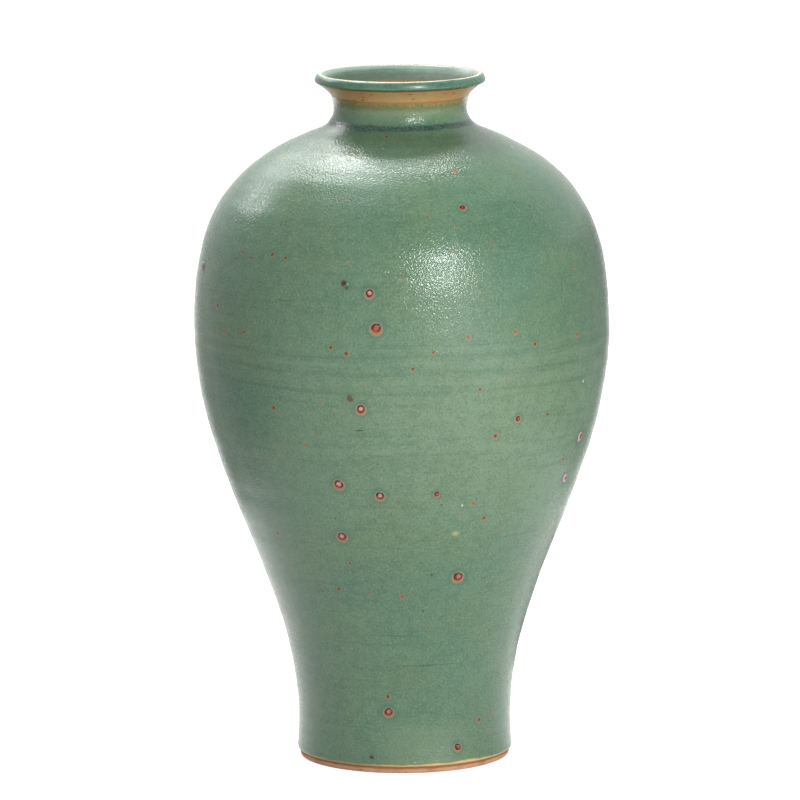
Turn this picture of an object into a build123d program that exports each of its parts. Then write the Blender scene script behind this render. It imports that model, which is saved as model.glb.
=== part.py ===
from build123d import *
from math import cos, radians, sin
import os

os.makedirs("parts", exist_ok=True)

# Driving dimensions, in millimetres and degrees
# An ease is the length over which a curve keeps the direction that it has at its end

# Foot and floor
FOOT_BAND = 3.0
FOOT_FLARE = 0.5
FOOT_BEVEL = 0.8
FOOT_RING = 9.5
FOOT_EASE = 4.5
RECESS_DEPTH = 3.5
RECESS_DRAFT = 1.5
FLOOR = 8.0
FLOOR_CORNER = 18.0

# Waist, the narrowest place of the lower wall
WAIST_RADIUS = 45.8
WAIST_RISE = 13.5
WAIST_EASE_BELOW = 4.5
WAIST_EASE_ABOVE = 62.5

# Belly, the widest place, where the two thrown wall sections meet
BELLY_RADIUS = 89.8
BELLY_RISE = 173.5
BELLY_EASE_BELOW = 65.4
BELLY_EASE_ABOVE = 47.0

# Neck root, where the shoulder turns up into the neck
ROOT_RISE = 85.0
ROOT_SPREAD = 8.0
ROOT_SLOPE = 21.0
ROOT_EASE_BELOW = 43.5
ROOT_EASE_ABOVE = 5.4

# Neck and everted lip
NECK_RADIUS = 28.2
NECK_RISE = 10.3
NECK_EASE_BELOW = 5.0
NECK_EASE_ABOVE = 6.0
LIP_RISE = 10.9
LIP_SPREAD = 7.9
LIP_SLOPE = 35.0
LIP_EASE = 3.5
LIP_BAND = 1.8
LIP_ROLL_RADIUS = 1.4
LIP_ROLL_TURN = 140.0
MOUTH_EASE = 5.0
THROAT_EASE = 7.0

# Clay wall, slip joints and glaze coats, each coat a thin bond away from its clay
WALL = 5.0
SLIP = 0.8
JOINT_DEPTH = 1.5
BOND = 0.05
GLAZE = 0.55
BARE_BAND = 5.6
LIP_GLAZE_DROP = 5.4

# Iron nodules: share of the way up their wall, bearing from the front, radius
NODULE_CROWN = 0.45
NODULE_TAPER = 0.7
SMALL_NODULE = 1.2
MIDDLE_NODULE = 1.7
LARGE_NODULE = 2.0
FOOT_NODULES = [(0.302, -17.6, MIDDLE_NODULE), (0.553, 29.6, MIDDLE_NODULE)]
LOWER_NODULES = [
    (0.061, -8.5, MIDDLE_NODULE),
    (0.419, 21.7, LARGE_NODULE),
    (0.533, -21.7, LARGE_NODULE),
    (0.647, 63.5, MIDDLE_NODULE),
    (0.649, -7.2, MIDDLE_NODULE),
    (0.652, 10.6, SMALL_NODULE),
    (0.676, -20.0, LARGE_NODULE),
    (0.752, 65.6, LARGE_NODULE),
    (0.833, 34.3, SMALL_NODULE),
    (0.871, -11.5, MIDDLE_NODULE),
    (0.896, -14.2, SMALL_NODULE),
]
UPPER_NODULES = [
    (0.108, -6.9, LARGE_NODULE),
    (0.241, -8.8, MIDDLE_NODULE),
    (0.266, -76.5, MIDDLE_NODULE),
    (0.276, -16.0, MIDDLE_NODULE),
    (0.576, 20.4, MIDDLE_NODULE),
]


def heading(angle):
    """The direction at an angle above the outward level."""
    return Vector(cos(radians(angle)), sin(radians(angle)))


def facing(run):
    """The direction square to a run, on the right of its travel."""
    return Vector(run.Y, -run.X).normalized()


def bend(run, next_run):
    """The curvature at the end of a cubic curve where two legs of its frame meet."""
    return 2 / 3 * (run.X * next_run.Y - run.Y * next_run.X)


def beside(curve, gap):
    """The frame of a curve that keeps a gap from another one, on the right of its travel."""
    start, start_ease, end_ease, end = curve
    first = start_ease - start
    middle = end_ease - start_ease
    last = end - end_ease
    first_stretch = 1 + gap * bend(first, middle) / first.length**3
    last_stretch = 1 + gap * bend(middle, last) / last.length**3
    new_start = start + facing(first) * gap
    new_end = end + facing(last) * gap
    return [new_start, new_start + first * first_stretch, new_end - last * last_stretch, new_end]


# Stations on the outline, as radius and height
OUT = heading(0)
UP = heading(90)
root_run = heading(180 - ROOT_SLOPE)
root_face = facing(root_run)
lip_run = heading(LIP_SLOPE)
roll_run = heading(90 + LIP_ROLL_TURN)
foot = Vector(WAIST_RADIUS + FOOT_FLARE, FOOT_BAND)
foot_edge = Vector(foot.X - FOOT_BEVEL, 0)
recess_edge = Vector(foot_edge.X - FOOT_RING, 0)
recess_corner = Vector(recess_edge.X - RECESS_DRAFT, RECESS_DEPTH)
recess_centre = Vector(0, RECESS_DEPTH)
waist = Vector(WAIST_RADIUS, foot.Y + WAIST_RISE)
belly = Vector(BELLY_RADIUS, waist.Y + BELLY_RISE)
root = Vector(NECK_RADIUS + ROOT_SPREAD, belly.Y + ROOT_RISE)
neck = Vector(NECK_RADIUS, root.Y + NECK_RISE)
lip = Vector(NECK_RADIUS + LIP_SPREAD, neck.Y + LIP_RISE)
lip_top = lip + UP * LIP_BAND
mouth = lip_top + (heading(LIP_ROLL_TURN) - OUT) * LIP_ROLL_RADIUS
throat = neck - OUT * WALL
inner_waist = waist - OUT * WALL
floor_centre = Vector(0, RECESS_DEPTH + FLOOR)
floor_corner = Vector(inner_waist.X, floor_centre.Y)
floor_edge = floor_corner - OUT * FLOOR_CORNER
skin = BOND + GLAZE
clear = lip_top.Y + BELLY_RADIUS

# Curves of the outline, each as its two ends and their eases
foot_wall = [foot, foot + UP * FOOT_EASE, waist - UP * WAIST_EASE_BELOW, waist]
lower_wall = [waist, waist + UP * WAIST_EASE_ABOVE, belly - UP * BELLY_EASE_BELOW, belly]
upper_wall = [belly, belly + UP * BELLY_EASE_ABOVE, root - root_run * ROOT_EASE_BELOW, root]
root_wall = [root, root + root_run * ROOT_EASE_ABOVE, neck - UP * NECK_EASE_BELOW, neck]
flare_wall = [neck, neck + UP * NECK_EASE_ABOVE, lip - lip_run * LIP_EASE, lip]
mouth_wall = [mouth, mouth + roll_run * MOUTH_EASE, throat + UP * THROAT_EASE, throat]
outer_walls = [foot_wall, lower_wall, upper_wall, root_wall, flare_wall]
inner_walls = [beside(wall, -WALL) for wall in (lower_wall, upper_wall, root_wall)]
floor_wall = [floor_edge, floor_corner, floor_corner, inner_waist]


def keep_within(*corners):
    """Keeps only what lies inside a closed outline."""
    with BuildLine() as outline:
        Polyline(*corners, close=True)
    make_face(outline.edges(), mode=Mode.INTERSECT)


def belly_line(lift):
    """The belly joint from the axis outwards, with its V in the middle of the wall."""
    level = Vector(0, belly.Y + lift)
    inside = level + OUT * (belly.X - WALL)
    groove = level + OUT * (belly.X - WALL / 2) - UP * JOINT_DEPTH
    outside = level + OUT * belly.X
    return [level, inside, groove, outside, level + OUT * clear]


def root_line(along):
    """The neck joint, square to the wall at the neck root."""
    middle = root + root_run * along
    return [middle - root_face * clear, middle + root_face * clear]


def around(spot, bearing):
    """A radius and a height, turned about the axis to a bearing from the front."""
    turn = radians(bearing)
    return Vector(spot.X * sin(turn), -spot.X * cos(turn), spot.Y)


def nodule_seats():
    """The plane of each nodule on the clay, facing out, with the nodule's radius."""
    seats = []
    beds = [(foot_wall, FOOT_NODULES), (lower_wall, LOWER_NODULES), (upper_wall, UPPER_NODULES)]
    for wall, nodules in beds:
        surface = Edge.make_bezier(*wall)
        for share, bearing, radius in nodules:
            spot = around(surface @ share, bearing)
            outward = around(facing(surface % share), bearing)
            seats.append((Plane(spot, z_dir=outward), radius))
    return seats


# The half section of the whole clay pot, before it is parted at its joints
with BuildSketch() as clay:
    with BuildLine():
        Polyline(recess_centre, recess_corner, recess_edge, foot_edge, foot)
        for wall in outer_walls:
            Bezier(*wall)
        Line(lip, lip_top)
        JernArc(lip_top, UP, LIP_ROLL_RADIUS, LIP_ROLL_TURN)
        Bezier(*mouth_wall)
        for wall in inner_walls:
            Bezier(*wall)
        Bezier(*floor_wall)
        Polyline(floor_edge, floor_centre, recess_centre)
    make_face()

# Lower section: foot, floor and lower wall
with BuildPart() as lower_section:
    with BuildSketch(Plane.XZ):
        add(clay.sketch)
        keep_within(*belly_line(-SLIP / 2), OUT * clear - UP, -UP)
    revolve(axis=Axis.Z)
lower_section.part.label = "lower_section"
export_step(lower_section.part, "parts/lower_section.step")

# Upper section: belly and shoulder
with BuildPart() as upper_section:
    with BuildSketch(Plane.XZ):
        add(clay.sketch)
        keep_within(*belly_line(SLIP / 2), (OUT + UP) * clear, UP * clear)
        inner, outer = root_line(-SLIP / 2)
        keep_within(inner, outer, outer - root_run * clear, inner - root_run * clear)
    revolve(axis=Axis.Z)
upper_section.part.label = "upper_section"
export_step(upper_section.part, "parts/upper_section.step")

# Neck section: neck and everted lip
with BuildPart() as neck_section:
    with BuildSketch(Plane.XZ):
        add(clay.sketch)
        inner, outer = root_line(SLIP / 2)
        keep_within(inner, outer, outer + root_run * clear, inner + root_run * clear)
    revolve(axis=Axis.Z)
neck_section.part.label = "neck_section"
export_step(neck_section.part, "parts/neck_section.step")

# Belly lute: the slip between the lower and the upper section
with BuildPart() as belly_lute:
    with BuildSketch(Plane.XZ):
        add(clay.sketch)
        keep_within(*belly_line(-SLIP / 2), *reversed(belly_line(SLIP / 2)))
    revolve(axis=Axis.Z)
belly_lute.part.label = "belly_lute"
export_step(belly_lute.part, "parts/belly_lute.step")

# Neck lute: the slip between the shoulder and the neck
with BuildPart() as neck_lute:
    with BuildSketch(Plane.XZ):
        add(clay.sketch)
        keep_within(*root_line(-SLIP / 2), *reversed(root_line(SLIP / 2)))
    revolve(axis=Axis.Z)
neck_lute.part.label = "neck_lute"
export_step(neck_lute.part, "parts/neck_lute.step")

# Body glaze: the outside coat, from the foot band to the bare band under the lip
glaze_line = lip.Y - BARE_BAND
with BuildPart() as body_glaze:
    with BuildSketch(Plane.XZ):
        with BuildLine():
            for gap in (BOND, skin):
                for wall in outer_walls:
                    Bezier(*beside(wall, gap))
            Line(beside(foot_wall, BOND)[0], beside(foot_wall, skin)[0])
            Line(beside(flare_wall, BOND)[3], beside(flare_wall, skin)[3])
        make_face()
        keep_within((0, 0), (clear, 0), (clear, glaze_line), (0, glaze_line))
    revolve(axis=Axis.Z)
    for seat, radius in nodule_seats():
        with Locations(seat):
            Cylinder(radius + BOND, WALL, mode=Mode.SUBTRACT)
body_glaze.part.label = "body_glaze"
export_step(body_glaze.part, "parts/body_glaze.step")

# Lip glaze: the coat over the edge of the lip and a little way into the mouth
drop_line = lip_top.Y - LIP_GLAZE_DROP
with BuildPart() as lip_glaze:
    with BuildSketch(Plane.XZ):
        with BuildLine():
            for gap in (BOND, skin):
                Line(lip + OUT * gap, lip_top + OUT * gap)
                JernArc(lip_top + OUT * gap, UP, LIP_ROLL_RADIUS + gap, LIP_ROLL_TURN)
                Bezier(*beside(mouth_wall, gap))
            Line(lip + OUT * BOND, lip + OUT * skin)
            Line(throat - OUT * BOND, throat - OUT * skin)
        make_face()
        keep_within((0, drop_line), (clear, drop_line), (clear, clear), (0, clear))
    revolve(axis=Axis.Z)
lip_glaze.part.label = "lip_glaze"
export_step(lip_glaze.part, "parts/lip_glaze.step")

# Liner glaze: the inside coat, from the throat down over the floor
with BuildPart() as liner_glaze:
    with BuildSketch(Plane.XZ):
        with BuildLine():
            for gap in (BOND, skin):
                Line(floor_centre + UP * gap, floor_edge + UP * gap)
                for wall in (floor_wall, *inner_walls):
                    Bezier(*beside(wall, -gap))
            Line(floor_centre + UP * BOND, floor_centre + UP * skin)
            Line(throat - OUT * BOND, throat - OUT * skin)
        make_face()
    revolve(axis=Axis.Z)
liner_glaze.part.label = "liner_glaze"
export_step(liner_glaze.part, "parts/liner_glaze.step")

# Iron nodules: beads of melted iron, each with a stem through the glaze and a crown above it
stand = (Align.CENTER, Align.CENTER, Align.MIN)
with BuildPart() as iron_nodules:
    for seat, radius in nodule_seats():
        with Locations(seat.offset(BOND)):
            Cylinder(radius, GLAZE, align=stand)
        with Locations(seat.offset(skin)):
            Cone(radius, radius - NODULE_TAPER, NODULE_CROWN, align=stand)
iron_nodules.part.label = "iron_nodules"
export_step(iron_nodules.part, "parts/iron_nodules.step")
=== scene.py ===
"""A green glazed meiping vase: its clay, glaze coats and iron beads, in a white studio."""

import logging
import math
from dataclasses import dataclass, field
from enum import Enum
from typing import Optional, Sequence, Union

import bpy
import numpy as np
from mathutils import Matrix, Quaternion, Vector


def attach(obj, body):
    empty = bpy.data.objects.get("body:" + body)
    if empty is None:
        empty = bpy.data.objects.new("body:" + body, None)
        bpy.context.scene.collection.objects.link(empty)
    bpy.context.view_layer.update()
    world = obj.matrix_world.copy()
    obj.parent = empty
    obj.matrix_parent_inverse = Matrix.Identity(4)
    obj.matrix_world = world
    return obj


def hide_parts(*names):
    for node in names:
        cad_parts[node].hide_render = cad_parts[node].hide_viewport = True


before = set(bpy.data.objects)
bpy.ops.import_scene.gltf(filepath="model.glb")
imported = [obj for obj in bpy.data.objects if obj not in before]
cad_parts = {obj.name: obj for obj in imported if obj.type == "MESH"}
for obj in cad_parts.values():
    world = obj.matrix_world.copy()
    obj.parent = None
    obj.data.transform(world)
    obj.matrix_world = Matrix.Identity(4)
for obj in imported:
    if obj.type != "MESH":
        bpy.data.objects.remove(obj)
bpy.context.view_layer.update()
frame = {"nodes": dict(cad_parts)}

log = logging.getLogger("vase")

MM = 0.001
BODY = "root"
SRGB_KNEE, SRGB_SLOPE, SRGB_OFFSET, SRGB_POWER = 0.04045, 12.92, 0.055, 2.4
TOUCHING = 1e-6
EVEN = (1, 1, 1)
STRAY = (0.3, 0.7)
# paleness from which a bead gets a painted sheen all over, a painted reflection of the white room,
# and where it is full
SHEEN_FROM, SHEEN_FULL = 1.0, 1.25

Colour = tuple[float, float, float, float]
Place = tuple[float, float, float]
Socket = bpy.types.NodeSocket
Feed = Union[Socket, float, Sequence[float]]


def paint(red: float, green: float, blue: float) -> Colour:
    """Turns a screen colour into the linear colour that a shader takes.

    Args:
        red: Red on the screen, 0 to 255.
        green: Green on the screen, 0 to 255.
        blue: Blue on the screen, 0 to 255.

    Returns:
        The linear colour with full alpha.
    """
    linear = []
    for channel in (red / 255, green / 255, blue / 255):
        curved = ((channel + SRGB_OFFSET) / (1 + SRGB_OFFSET)) ** SRGB_POWER
        linear.append(channel / SRGB_SLOPE if channel <= SRGB_KNEE else curved)
    return (*linear, 1.0)


def heading(angle: float) -> np.ndarray:
    """The direction at an angle in degrees above the outward level, as radius and height."""
    return np.array([math.cos(math.radians(angle)), math.sin(math.radians(angle))])


def smooth_step(values: np.ndarray, low: float, high: float) -> np.ndarray:
    """Rises smoothly from 0 at low to 1 at high."""
    share = np.clip((values - low) / (high - low), 0.0, 1.0)
    return share * share * (3 - 2 * share)


def rounded(values: np.ndarray, radius: float) -> np.ndarray:
    """Rises from 0 to 1 over a radius, as a quarter of a circle does."""
    return np.sqrt(1 - (1 - np.clip(values / radius, 0, 1)) ** 2)


def compass(bearing: float) -> tuple[np.ndarray, np.ndarray]:
    """Finds the level directions at a bearing.

    Args:
        bearing: Bearing in degrees from the front.

    Returns:
        The way outward, and the way along the wall, towards +X at the front.
    """
    turn = math.radians(bearing)
    outward = np.array([math.sin(turn), -math.cos(turn), 0.0])
    return outward, np.array([math.cos(turn), math.sin(turn), 0.0])


def fresh_tree(owner: Union[bpy.types.Material, bpy.types.World]) -> bpy.types.NodeTree:
    """Gives a material or a world an empty tree of nodes.

    Args:
        owner: The material or the world.

    Returns:
        The tree.
    """
    owner.use_nodes = True
    owner.node_tree.nodes.clear()
    return owner.node_tree


def wire(tree: bpy.types.NodeTree, *links: tuple[Socket, Socket]) -> None:
    """Links sockets of a tree, each pair from its source to its target."""
    for source, target in links:
        tree.links.new(source, target)


OUT = heading(0)
UP = heading(90)
SKY = np.array([0.0, 0.0, 1.0])


@dataclass(frozen=True)
class Curve:
    """A cubic curve of the half section: its ends and eases, as radius and height in mm."""

    frame: np.ndarray

    @classmethod
    def between(
        cls, start: np.ndarray, leaving: np.ndarray, arriving: np.ndarray, end: np.ndarray
    ) -> "Curve":
        """Lays a curve between two stations.

        Args:
            start: The first station.
            leaving: Direction and length of the ease out of the start.
            arriving: Direction and length of the ease into the end.
            end: The last station.

        Returns:
            The curve.
        """
        return cls(np.array([start, start + leaving, end - arriving, end]))

    def beside(self, gap: float) -> "Curve":
        """Lays a curve that keeps a gap from this one.

        Args:
            gap: Distance in mm, to the right of the travel.

        Returns:
            The parallel curve.
        """
        legs = np.diff(self.frame, axis=0)
        ends = []
        for leg, turn in ((legs[0], (legs[0], legs[1])), (legs[2], (legs[1], legs[2]))):
            size = np.linalg.norm(leg)
            bend = 2 / 3 * (turn[0][0] * turn[1][1] - turn[0][1] * turn[1][0]) / size**3
            ends.append((np.array([leg[1], -leg[0]]) / size * gap, leg * (1 + gap * bend)))
        start = self.frame[0] + ends[0][0]
        end = self.frame[3] + ends[1][0]
        return Curve(np.array([start, start + ends[0][1], end - ends[1][1], end]))

    def points(self, count: int) -> np.ndarray:
        """Samples the curve.

        Args:
            count: Number of points.

        Returns:
            Points as rows of radius and height.
        """
        t = np.linspace(0, 1, count)[:, None]
        a, b, c, d = self.frame
        return (1 - t) ** 3 * a + 3 * (1 - t) ** 2 * t * b + 3 * (1 - t) * t * t * c + t**3 * d


@dataclass(frozen=True)
class Path:
    """A run of points of the half section."""

    points: np.ndarray

    @classmethod
    def along(cls, *runs: np.ndarray) -> "Path":
        """Joins runs of points end to end, without the doubled ends.

        Args:
            runs: Runs of points as rows of radius and height.

        Returns:
            The joined path.
        """
        joined = [runs[0]]
        for run in runs[1:]:
            doubled = np.linalg.norm(run[0] - joined[-1][-1]) < TOUCHING
            joined.append(run[1:] if doubled else run)
        return cls(np.vstack(joined))

    @property
    def gone(self) -> np.ndarray:
        """The length gone at each point."""
        steps = np.linalg.norm(np.diff(self.points, axis=0), axis=1)
        return np.concatenate(([0.0], np.cumsum(steps)))

    def at(self, lengths: np.ndarray) -> np.ndarray:
        """The points at the given lengths along the path."""
        return np.stack([np.interp(lengths, self.gone, row) for row in self.points.T], axis=1)

    def facing(self, lengths: np.ndarray) -> np.ndarray:
        """Finds the directions square to the path.

        Args:
            lengths: Lengths along the path.

        Returns:
            Unit directions to the right of the travel.
        """
        runs = np.gradient(self.points, self.gone, axis=0)
        right = np.stack([runs[:, 1], -runs[:, 0]], axis=1)
        found = np.stack([np.interp(lengths, self.gone, row) for row in right.T], axis=1)
        return found / np.linalg.norm(found, axis=1)[:, None]

    def beside(self, lengths: np.ndarray, gaps: Union[float, np.ndarray]) -> np.ndarray:
        """The points a gap to the right of the path, at the given lengths."""
        return self.at(lengths) + self.facing(lengths) * np.reshape(gaps, (-1, 1))

    def length_at(self, height: float) -> float:
        """The length gone where a rising path reaches a height."""
        return float(np.interp(height, self.points[:, 1], self.gone))

    def below(self, height: float) -> "Path":
        """The part of a rising path up to a height.

        Args:
            height: The height in mm.

        Returns:
            The lower part.
        """
        lengths = self.gone
        top = self.length_at(height)
        return Path(self.at(np.append(lengths[lengths < top], top)))


@dataclass(frozen=True)
class Outline:
    """The half section of the pot: the sizes of its stations, in mm and degrees."""

    foot_band: float = 3.0
    foot_flare: float = 0.5
    foot_bevel: float = 0.8
    foot_ring: float = 9.5
    foot_ease: float = 4.5
    recess_depth: float = 3.5
    recess_draft: float = 1.5
    floor: float = 8.0
    floor_corner: float = 18.0
    waist_radius: float = 45.8
    waist_rise: float = 13.5
    waist_ease_below: float = 4.5
    waist_ease_above: float = 62.5
    belly_radius: float = 89.8
    belly_rise: float = 173.5
    belly_ease_below: float = 65.4
    belly_ease_above: float = 47.0
    root_rise: float = 85.0
    root_spread: float = 8.0
    root_slope: float = 21.0
    root_ease_below: float = 43.5
    root_ease_above: float = 5.4
    neck_radius: float = 28.2
    neck_rise: float = 10.3
    neck_ease_below: float = 5.0
    neck_ease_above: float = 6.0
    lip_rise: float = 10.9
    lip_spread: float = 7.9
    lip_slope: float = 35.0
    lip_ease: float = 3.5
    lip_band: float = 1.8
    lip_roll_radius: float = 1.4
    lip_roll_turn: float = 140.0
    mouth_ease: float = 5.0
    throat_ease: float = 7.0
    wall: float = 5.0
    slip: float = 0.8
    joint_depth: float = 1.5
    bond: float = 0.05
    glaze: float = 0.55
    bare_band: float = 5.6
    lip_glaze_drop: float = 5.4
    samples: int = 400
    bend_samples: int = 60
    band_samples: int = 12
    floor_samples: int = 20

    @property
    def foot(self) -> np.ndarray:
        """Where the bare foot band ends and the glaze begins."""
        return np.array([self.waist_radius + self.foot_flare, self.foot_band])

    @property
    def waist(self) -> np.ndarray:
        """The narrowest place of the lower wall."""
        return np.array([self.waist_radius, self.foot_band + self.waist_rise])

    @property
    def belly(self) -> np.ndarray:
        """The widest place, where the thrown sections meet."""
        return np.array([self.belly_radius, self.waist[1] + self.belly_rise])

    @property
    def root(self) -> np.ndarray:
        """Where the shoulder turns up into the neck."""
        return np.array([self.neck_radius + self.root_spread, self.belly[1] + self.root_rise])

    @property
    def neck(self) -> np.ndarray:
        """The narrowest place of the neck."""
        return np.array([self.neck_radius, self.root[1] + self.neck_rise])

    @property
    def lip(self) -> np.ndarray:
        """Where the flared neck meets the band of the lip."""
        return np.array([self.neck_radius + self.lip_spread, self.neck[1] + self.lip_rise])

    @property
    def throat(self) -> np.ndarray:
        """The narrowest place inside the neck."""
        return self.neck - OUT * self.wall

    @property
    def skin(self) -> float:
        """Distance from the clay to the outside of a glaze coat."""
        return self.bond + self.glaze

    @property
    def glaze_line(self) -> float:
        """Height of the upper edge of the body glaze."""
        return float(self.lip[1] - self.bare_band)

    @property
    def drop_line(self) -> float:
        """Height of the lower edge of the lip glaze, inside the mouth."""
        return float(self.lip[1] + self.lip_band - self.lip_glaze_drop)

    def walls(self) -> list[Curve]:
        """The outside walls from the foot to the lip: foot, lower, upper, root and flare.

        Returns:
            The curves in that order.
        """
        root_run = heading(180 - self.root_slope)
        lip_run = heading(self.lip_slope)
        return [
            Curve.between(self.foot, UP * self.foot_ease, UP * self.waist_ease_below, self.waist),
            Curve.between(
                self.waist, UP * self.waist_ease_above, UP * self.belly_ease_below, self.belly
            ),
            Curve.between(
                self.belly, UP * self.belly_ease_above, root_run * self.root_ease_below, self.root
            ),
            Curve.between(
                self.root, root_run * self.root_ease_above, UP * self.neck_ease_below, self.neck
            ),
            Curve.between(self.neck, UP * self.neck_ease_above, lip_run * self.lip_ease, self.lip),
        ]

    def inner_walls(self) -> list[Curve]:
        """The inside walls from the waist to the throat, in that order."""
        return [wall.beside(-self.wall) for wall in self.walls()[1:4]]

    def outside(self) -> Path:
        """The outside of the clay from the foot to the lip."""
        return Path.along(*[wall.points(self.samples) for wall in self.walls()])

    def lip_roll(self) -> np.ndarray:
        """The band and the rolled edge of the lip, going up and over.

        Returns:
            Points as rows of radius and height.
        """
        top = self.lip + UP * self.lip_band
        centre = top - OUT * self.lip_roll_radius
        turns = np.linspace(0, self.lip_roll_turn, self.bend_samples)
        roll = [centre + heading(turn) * self.lip_roll_radius for turn in turns]
        band = np.linspace(self.lip, top, self.band_samples)
        return np.vstack([band[:-1], roll])

    def mouth(self) -> Path:
        """The clay of the lip, from its band over the roll and down to the throat.

        Returns:
            The path.
        """
        roll = self.lip_roll()
        leaving = heading(90 + self.lip_roll_turn) * self.mouth_ease
        down = Curve.between(roll[-1], leaving, -UP * self.throat_ease, self.throat)
        return Path.along(roll, down.points(self.samples))

    def inside(self) -> Path:
        """The inside of the clay, from the middle of the floor to the throat.

        Returns:
            The path.
        """
        level = self.recess_depth + self.floor
        waist = self.waist - OUT * self.wall
        corner = np.array([waist[0], level])
        edge = corner - OUT * self.floor_corner
        bend = Curve(np.array([edge, corner, corner, waist]))
        walls = [wall.points(self.samples) for wall in self.inner_walls()]
        flat = np.linspace((0.0, level), edge, self.floor_samples)
        return Path.along(flat, bend.points(self.bend_samples), *walls)


def eased(
    corners: Sequence[Sequence[float]], reach: float, most: float = 0.45, steps: int = 6
) -> np.ndarray:
    """Rounds the corners of a run of points, as a wet sponge does.

    Args:
        corners: The run's points as radius and height.
        reach: How far from each corner the rounding begins, in mm.
        most: The most of a side's length that one rounding takes up.
        steps: Points on each rounding.

    Returns:
        The rounded run.
    """
    corners = [np.array(corner, float) for corner in corners]
    run = [corners[0]]
    for before, corner, after in zip(corners, corners[1:], corners[2:]):
        sides = before - corner, after - corner
        sizes = [np.linalg.norm(side) for side in sides]
        near = min(reach, *(size * most for size in sizes))
        start, end = (corner + side / size * near for side, size in zip(sides, sizes))
        for t in np.linspace(0, 1, steps):
            run.append((1 - t) ** 2 * start + 2 * (1 - t) * t * corner + t * t * end)
    run.append(corners[-1])
    return np.array(run)


@dataclass(frozen=True)
class Wheel:
    """Turns a section of rings about the axis into a mesh."""

    segments: int = 240

    @property
    def bearings(self) -> np.ndarray:
        """The bearings of the segments, in radians from the front, + towards +X."""
        return np.linspace(-math.pi, math.pi, self.segments, endpoint=False)

    def even(self, section: np.ndarray) -> np.ndarray:
        """Repeats a section at every bearing, as rings of radius and height."""
        return np.repeat(section[:, None, :], self.segments, axis=1)

    def turn(self, name: str, rings: np.ndarray, on_axis: bool) -> bpy.types.Object:
        """Makes the turned mesh.

        Args:
            name: Name of the piece.
            rings: Radius and height in mm, by ring and bearing, solid on the left of travel.
            on_axis: True if the section starts and ends on the axis, False if it is a loop.

        Returns:
            The piece, smooth shaded.
        """
        count = self.segments
        radius, height = rings[..., 0], rings[..., 1]
        places = np.stack(
            [radius * np.sin(self.bearings), -radius * np.cos(self.bearings), height], axis=-1
        )
        places = places.reshape(-1, 3) * MM
        here = np.arange(count)
        beyond = np.roll(here, -1)
        faces: list[tuple[int, ...]] = []
        total = len(rings)
        for ring in range(total - 1 if on_axis else total):
            low = ring * count
            high = (ring + 1) % total * count
            quads = np.stack([low + here, low + beyond, high + beyond, high + here], axis=1)
            if on_axis and ring == 0:
                quads = np.stack([np.zeros(count, int), high + beyond, high + here], axis=1)
            elif on_axis and ring == total - 2:
                quads = np.stack([low + here, low + beyond, np.full(count, high)], axis=1)
            faces.extend(map(tuple, quads.tolist()))
        if on_axis:
            last = (total - 1) * count
            keep = np.concatenate(([0], np.arange(count, last), [last]))
            renumbered = np.zeros(total * count, int)
            renumbered[keep] = np.arange(len(keep))
            places = places[keep]
            faces = [tuple(renumbered[list(face)].tolist()) for face in faces]
        return mesh_piece(name, places, faces)


def mesh_piece(
    name: str, places: np.ndarray, faces: Sequence[Sequence[int]]
) -> bpy.types.Object:
    """Makes a smooth shaded mesh piece in the scene.

    Args:
        name: Name of the piece.
        places: Corner places in metres.
        faces: Corner numbers of each face.

    Returns:
        The piece.
    """
    mesh = bpy.data.meshes.new(name)
    mesh.from_pydata(places.tolist(), [], faces)
    mesh.validate()
    mesh.shade_smooth()
    piece = bpy.data.objects.new(name, mesh)
    bpy.context.scene.collection.objects.link(piece)
    return piece


class SpotKind(Enum):
    """An iron spot in the glaze: strength of its core, halo and aura, and its core's tone."""

    BEAD = (1.0, 0.8, 1.0, 0.3)
    DULL_BEAD = (0.75, 0.1, 0.45, 0.1)
    # the glaze around a bead with a painted sheen: its pale core goes with that painted reflection
    EDGE_BEAD = (0.3, 0.0, 0.8, 0.9)
    RED = (0.92, 0.42, 0.4, 0.15)
    AMBER = (0.6, 0.42, 0.25, 0.38)
    FAINT = (0.3, 0.12, 0.0, 0.42)
    DARK = (0.8, 0.0, 0.0, 0.04)
    PIT = (0.95, 0.0, 0.0, 0.0)
    SMUDGE = (0.55, 0.0, 0.2, 0.06)
    PALE = (0.5, 0.0, 0.0, 0.85)
    WHITE = (1.0, 0.0, 0.0, 1.0)
    SCORE = (0.38, 0.0, 0.0, 0.03)


@dataclass(frozen=True)
class Spot:
    """One spot in the glaze, by height in mm, bearing in degrees and half width in mm."""

    height: float
    bearing: float
    across: float
    kind: SpotKind
    tall: float = 0.0

    @property
    def half_height(self) -> float:
        """Half the spot's height, the same as its half width unless it is given."""
        return self.tall or self.across


@dataclass(frozen=True)
class Bead:
    """One raised iron bead: height, bearing and radius, how pale and orange, and how squat it is.

    One that is paler than the sheen's threshold gets a painted sheen all over, a painted reflection
    of the white room, and one without a halo is dull.
    """

    height: float
    bearing: float
    radius: float
    pale: float
    orange: float
    halo: bool = True
    squat: float = 1.0

    def spot(self) -> Spot:
        """The spot that the bead leaves in the glaze around it.

        Returns:
            The spot.
        """
        kind = SpotKind.BEAD if self.halo else SpotKind.DULL_BEAD
        kind = SpotKind.EDGE_BEAD if self.pale > SHEEN_FROM else kind
        return Spot(self.height, self.bearing, self.radius, kind, self.radius * self.squat)


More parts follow.
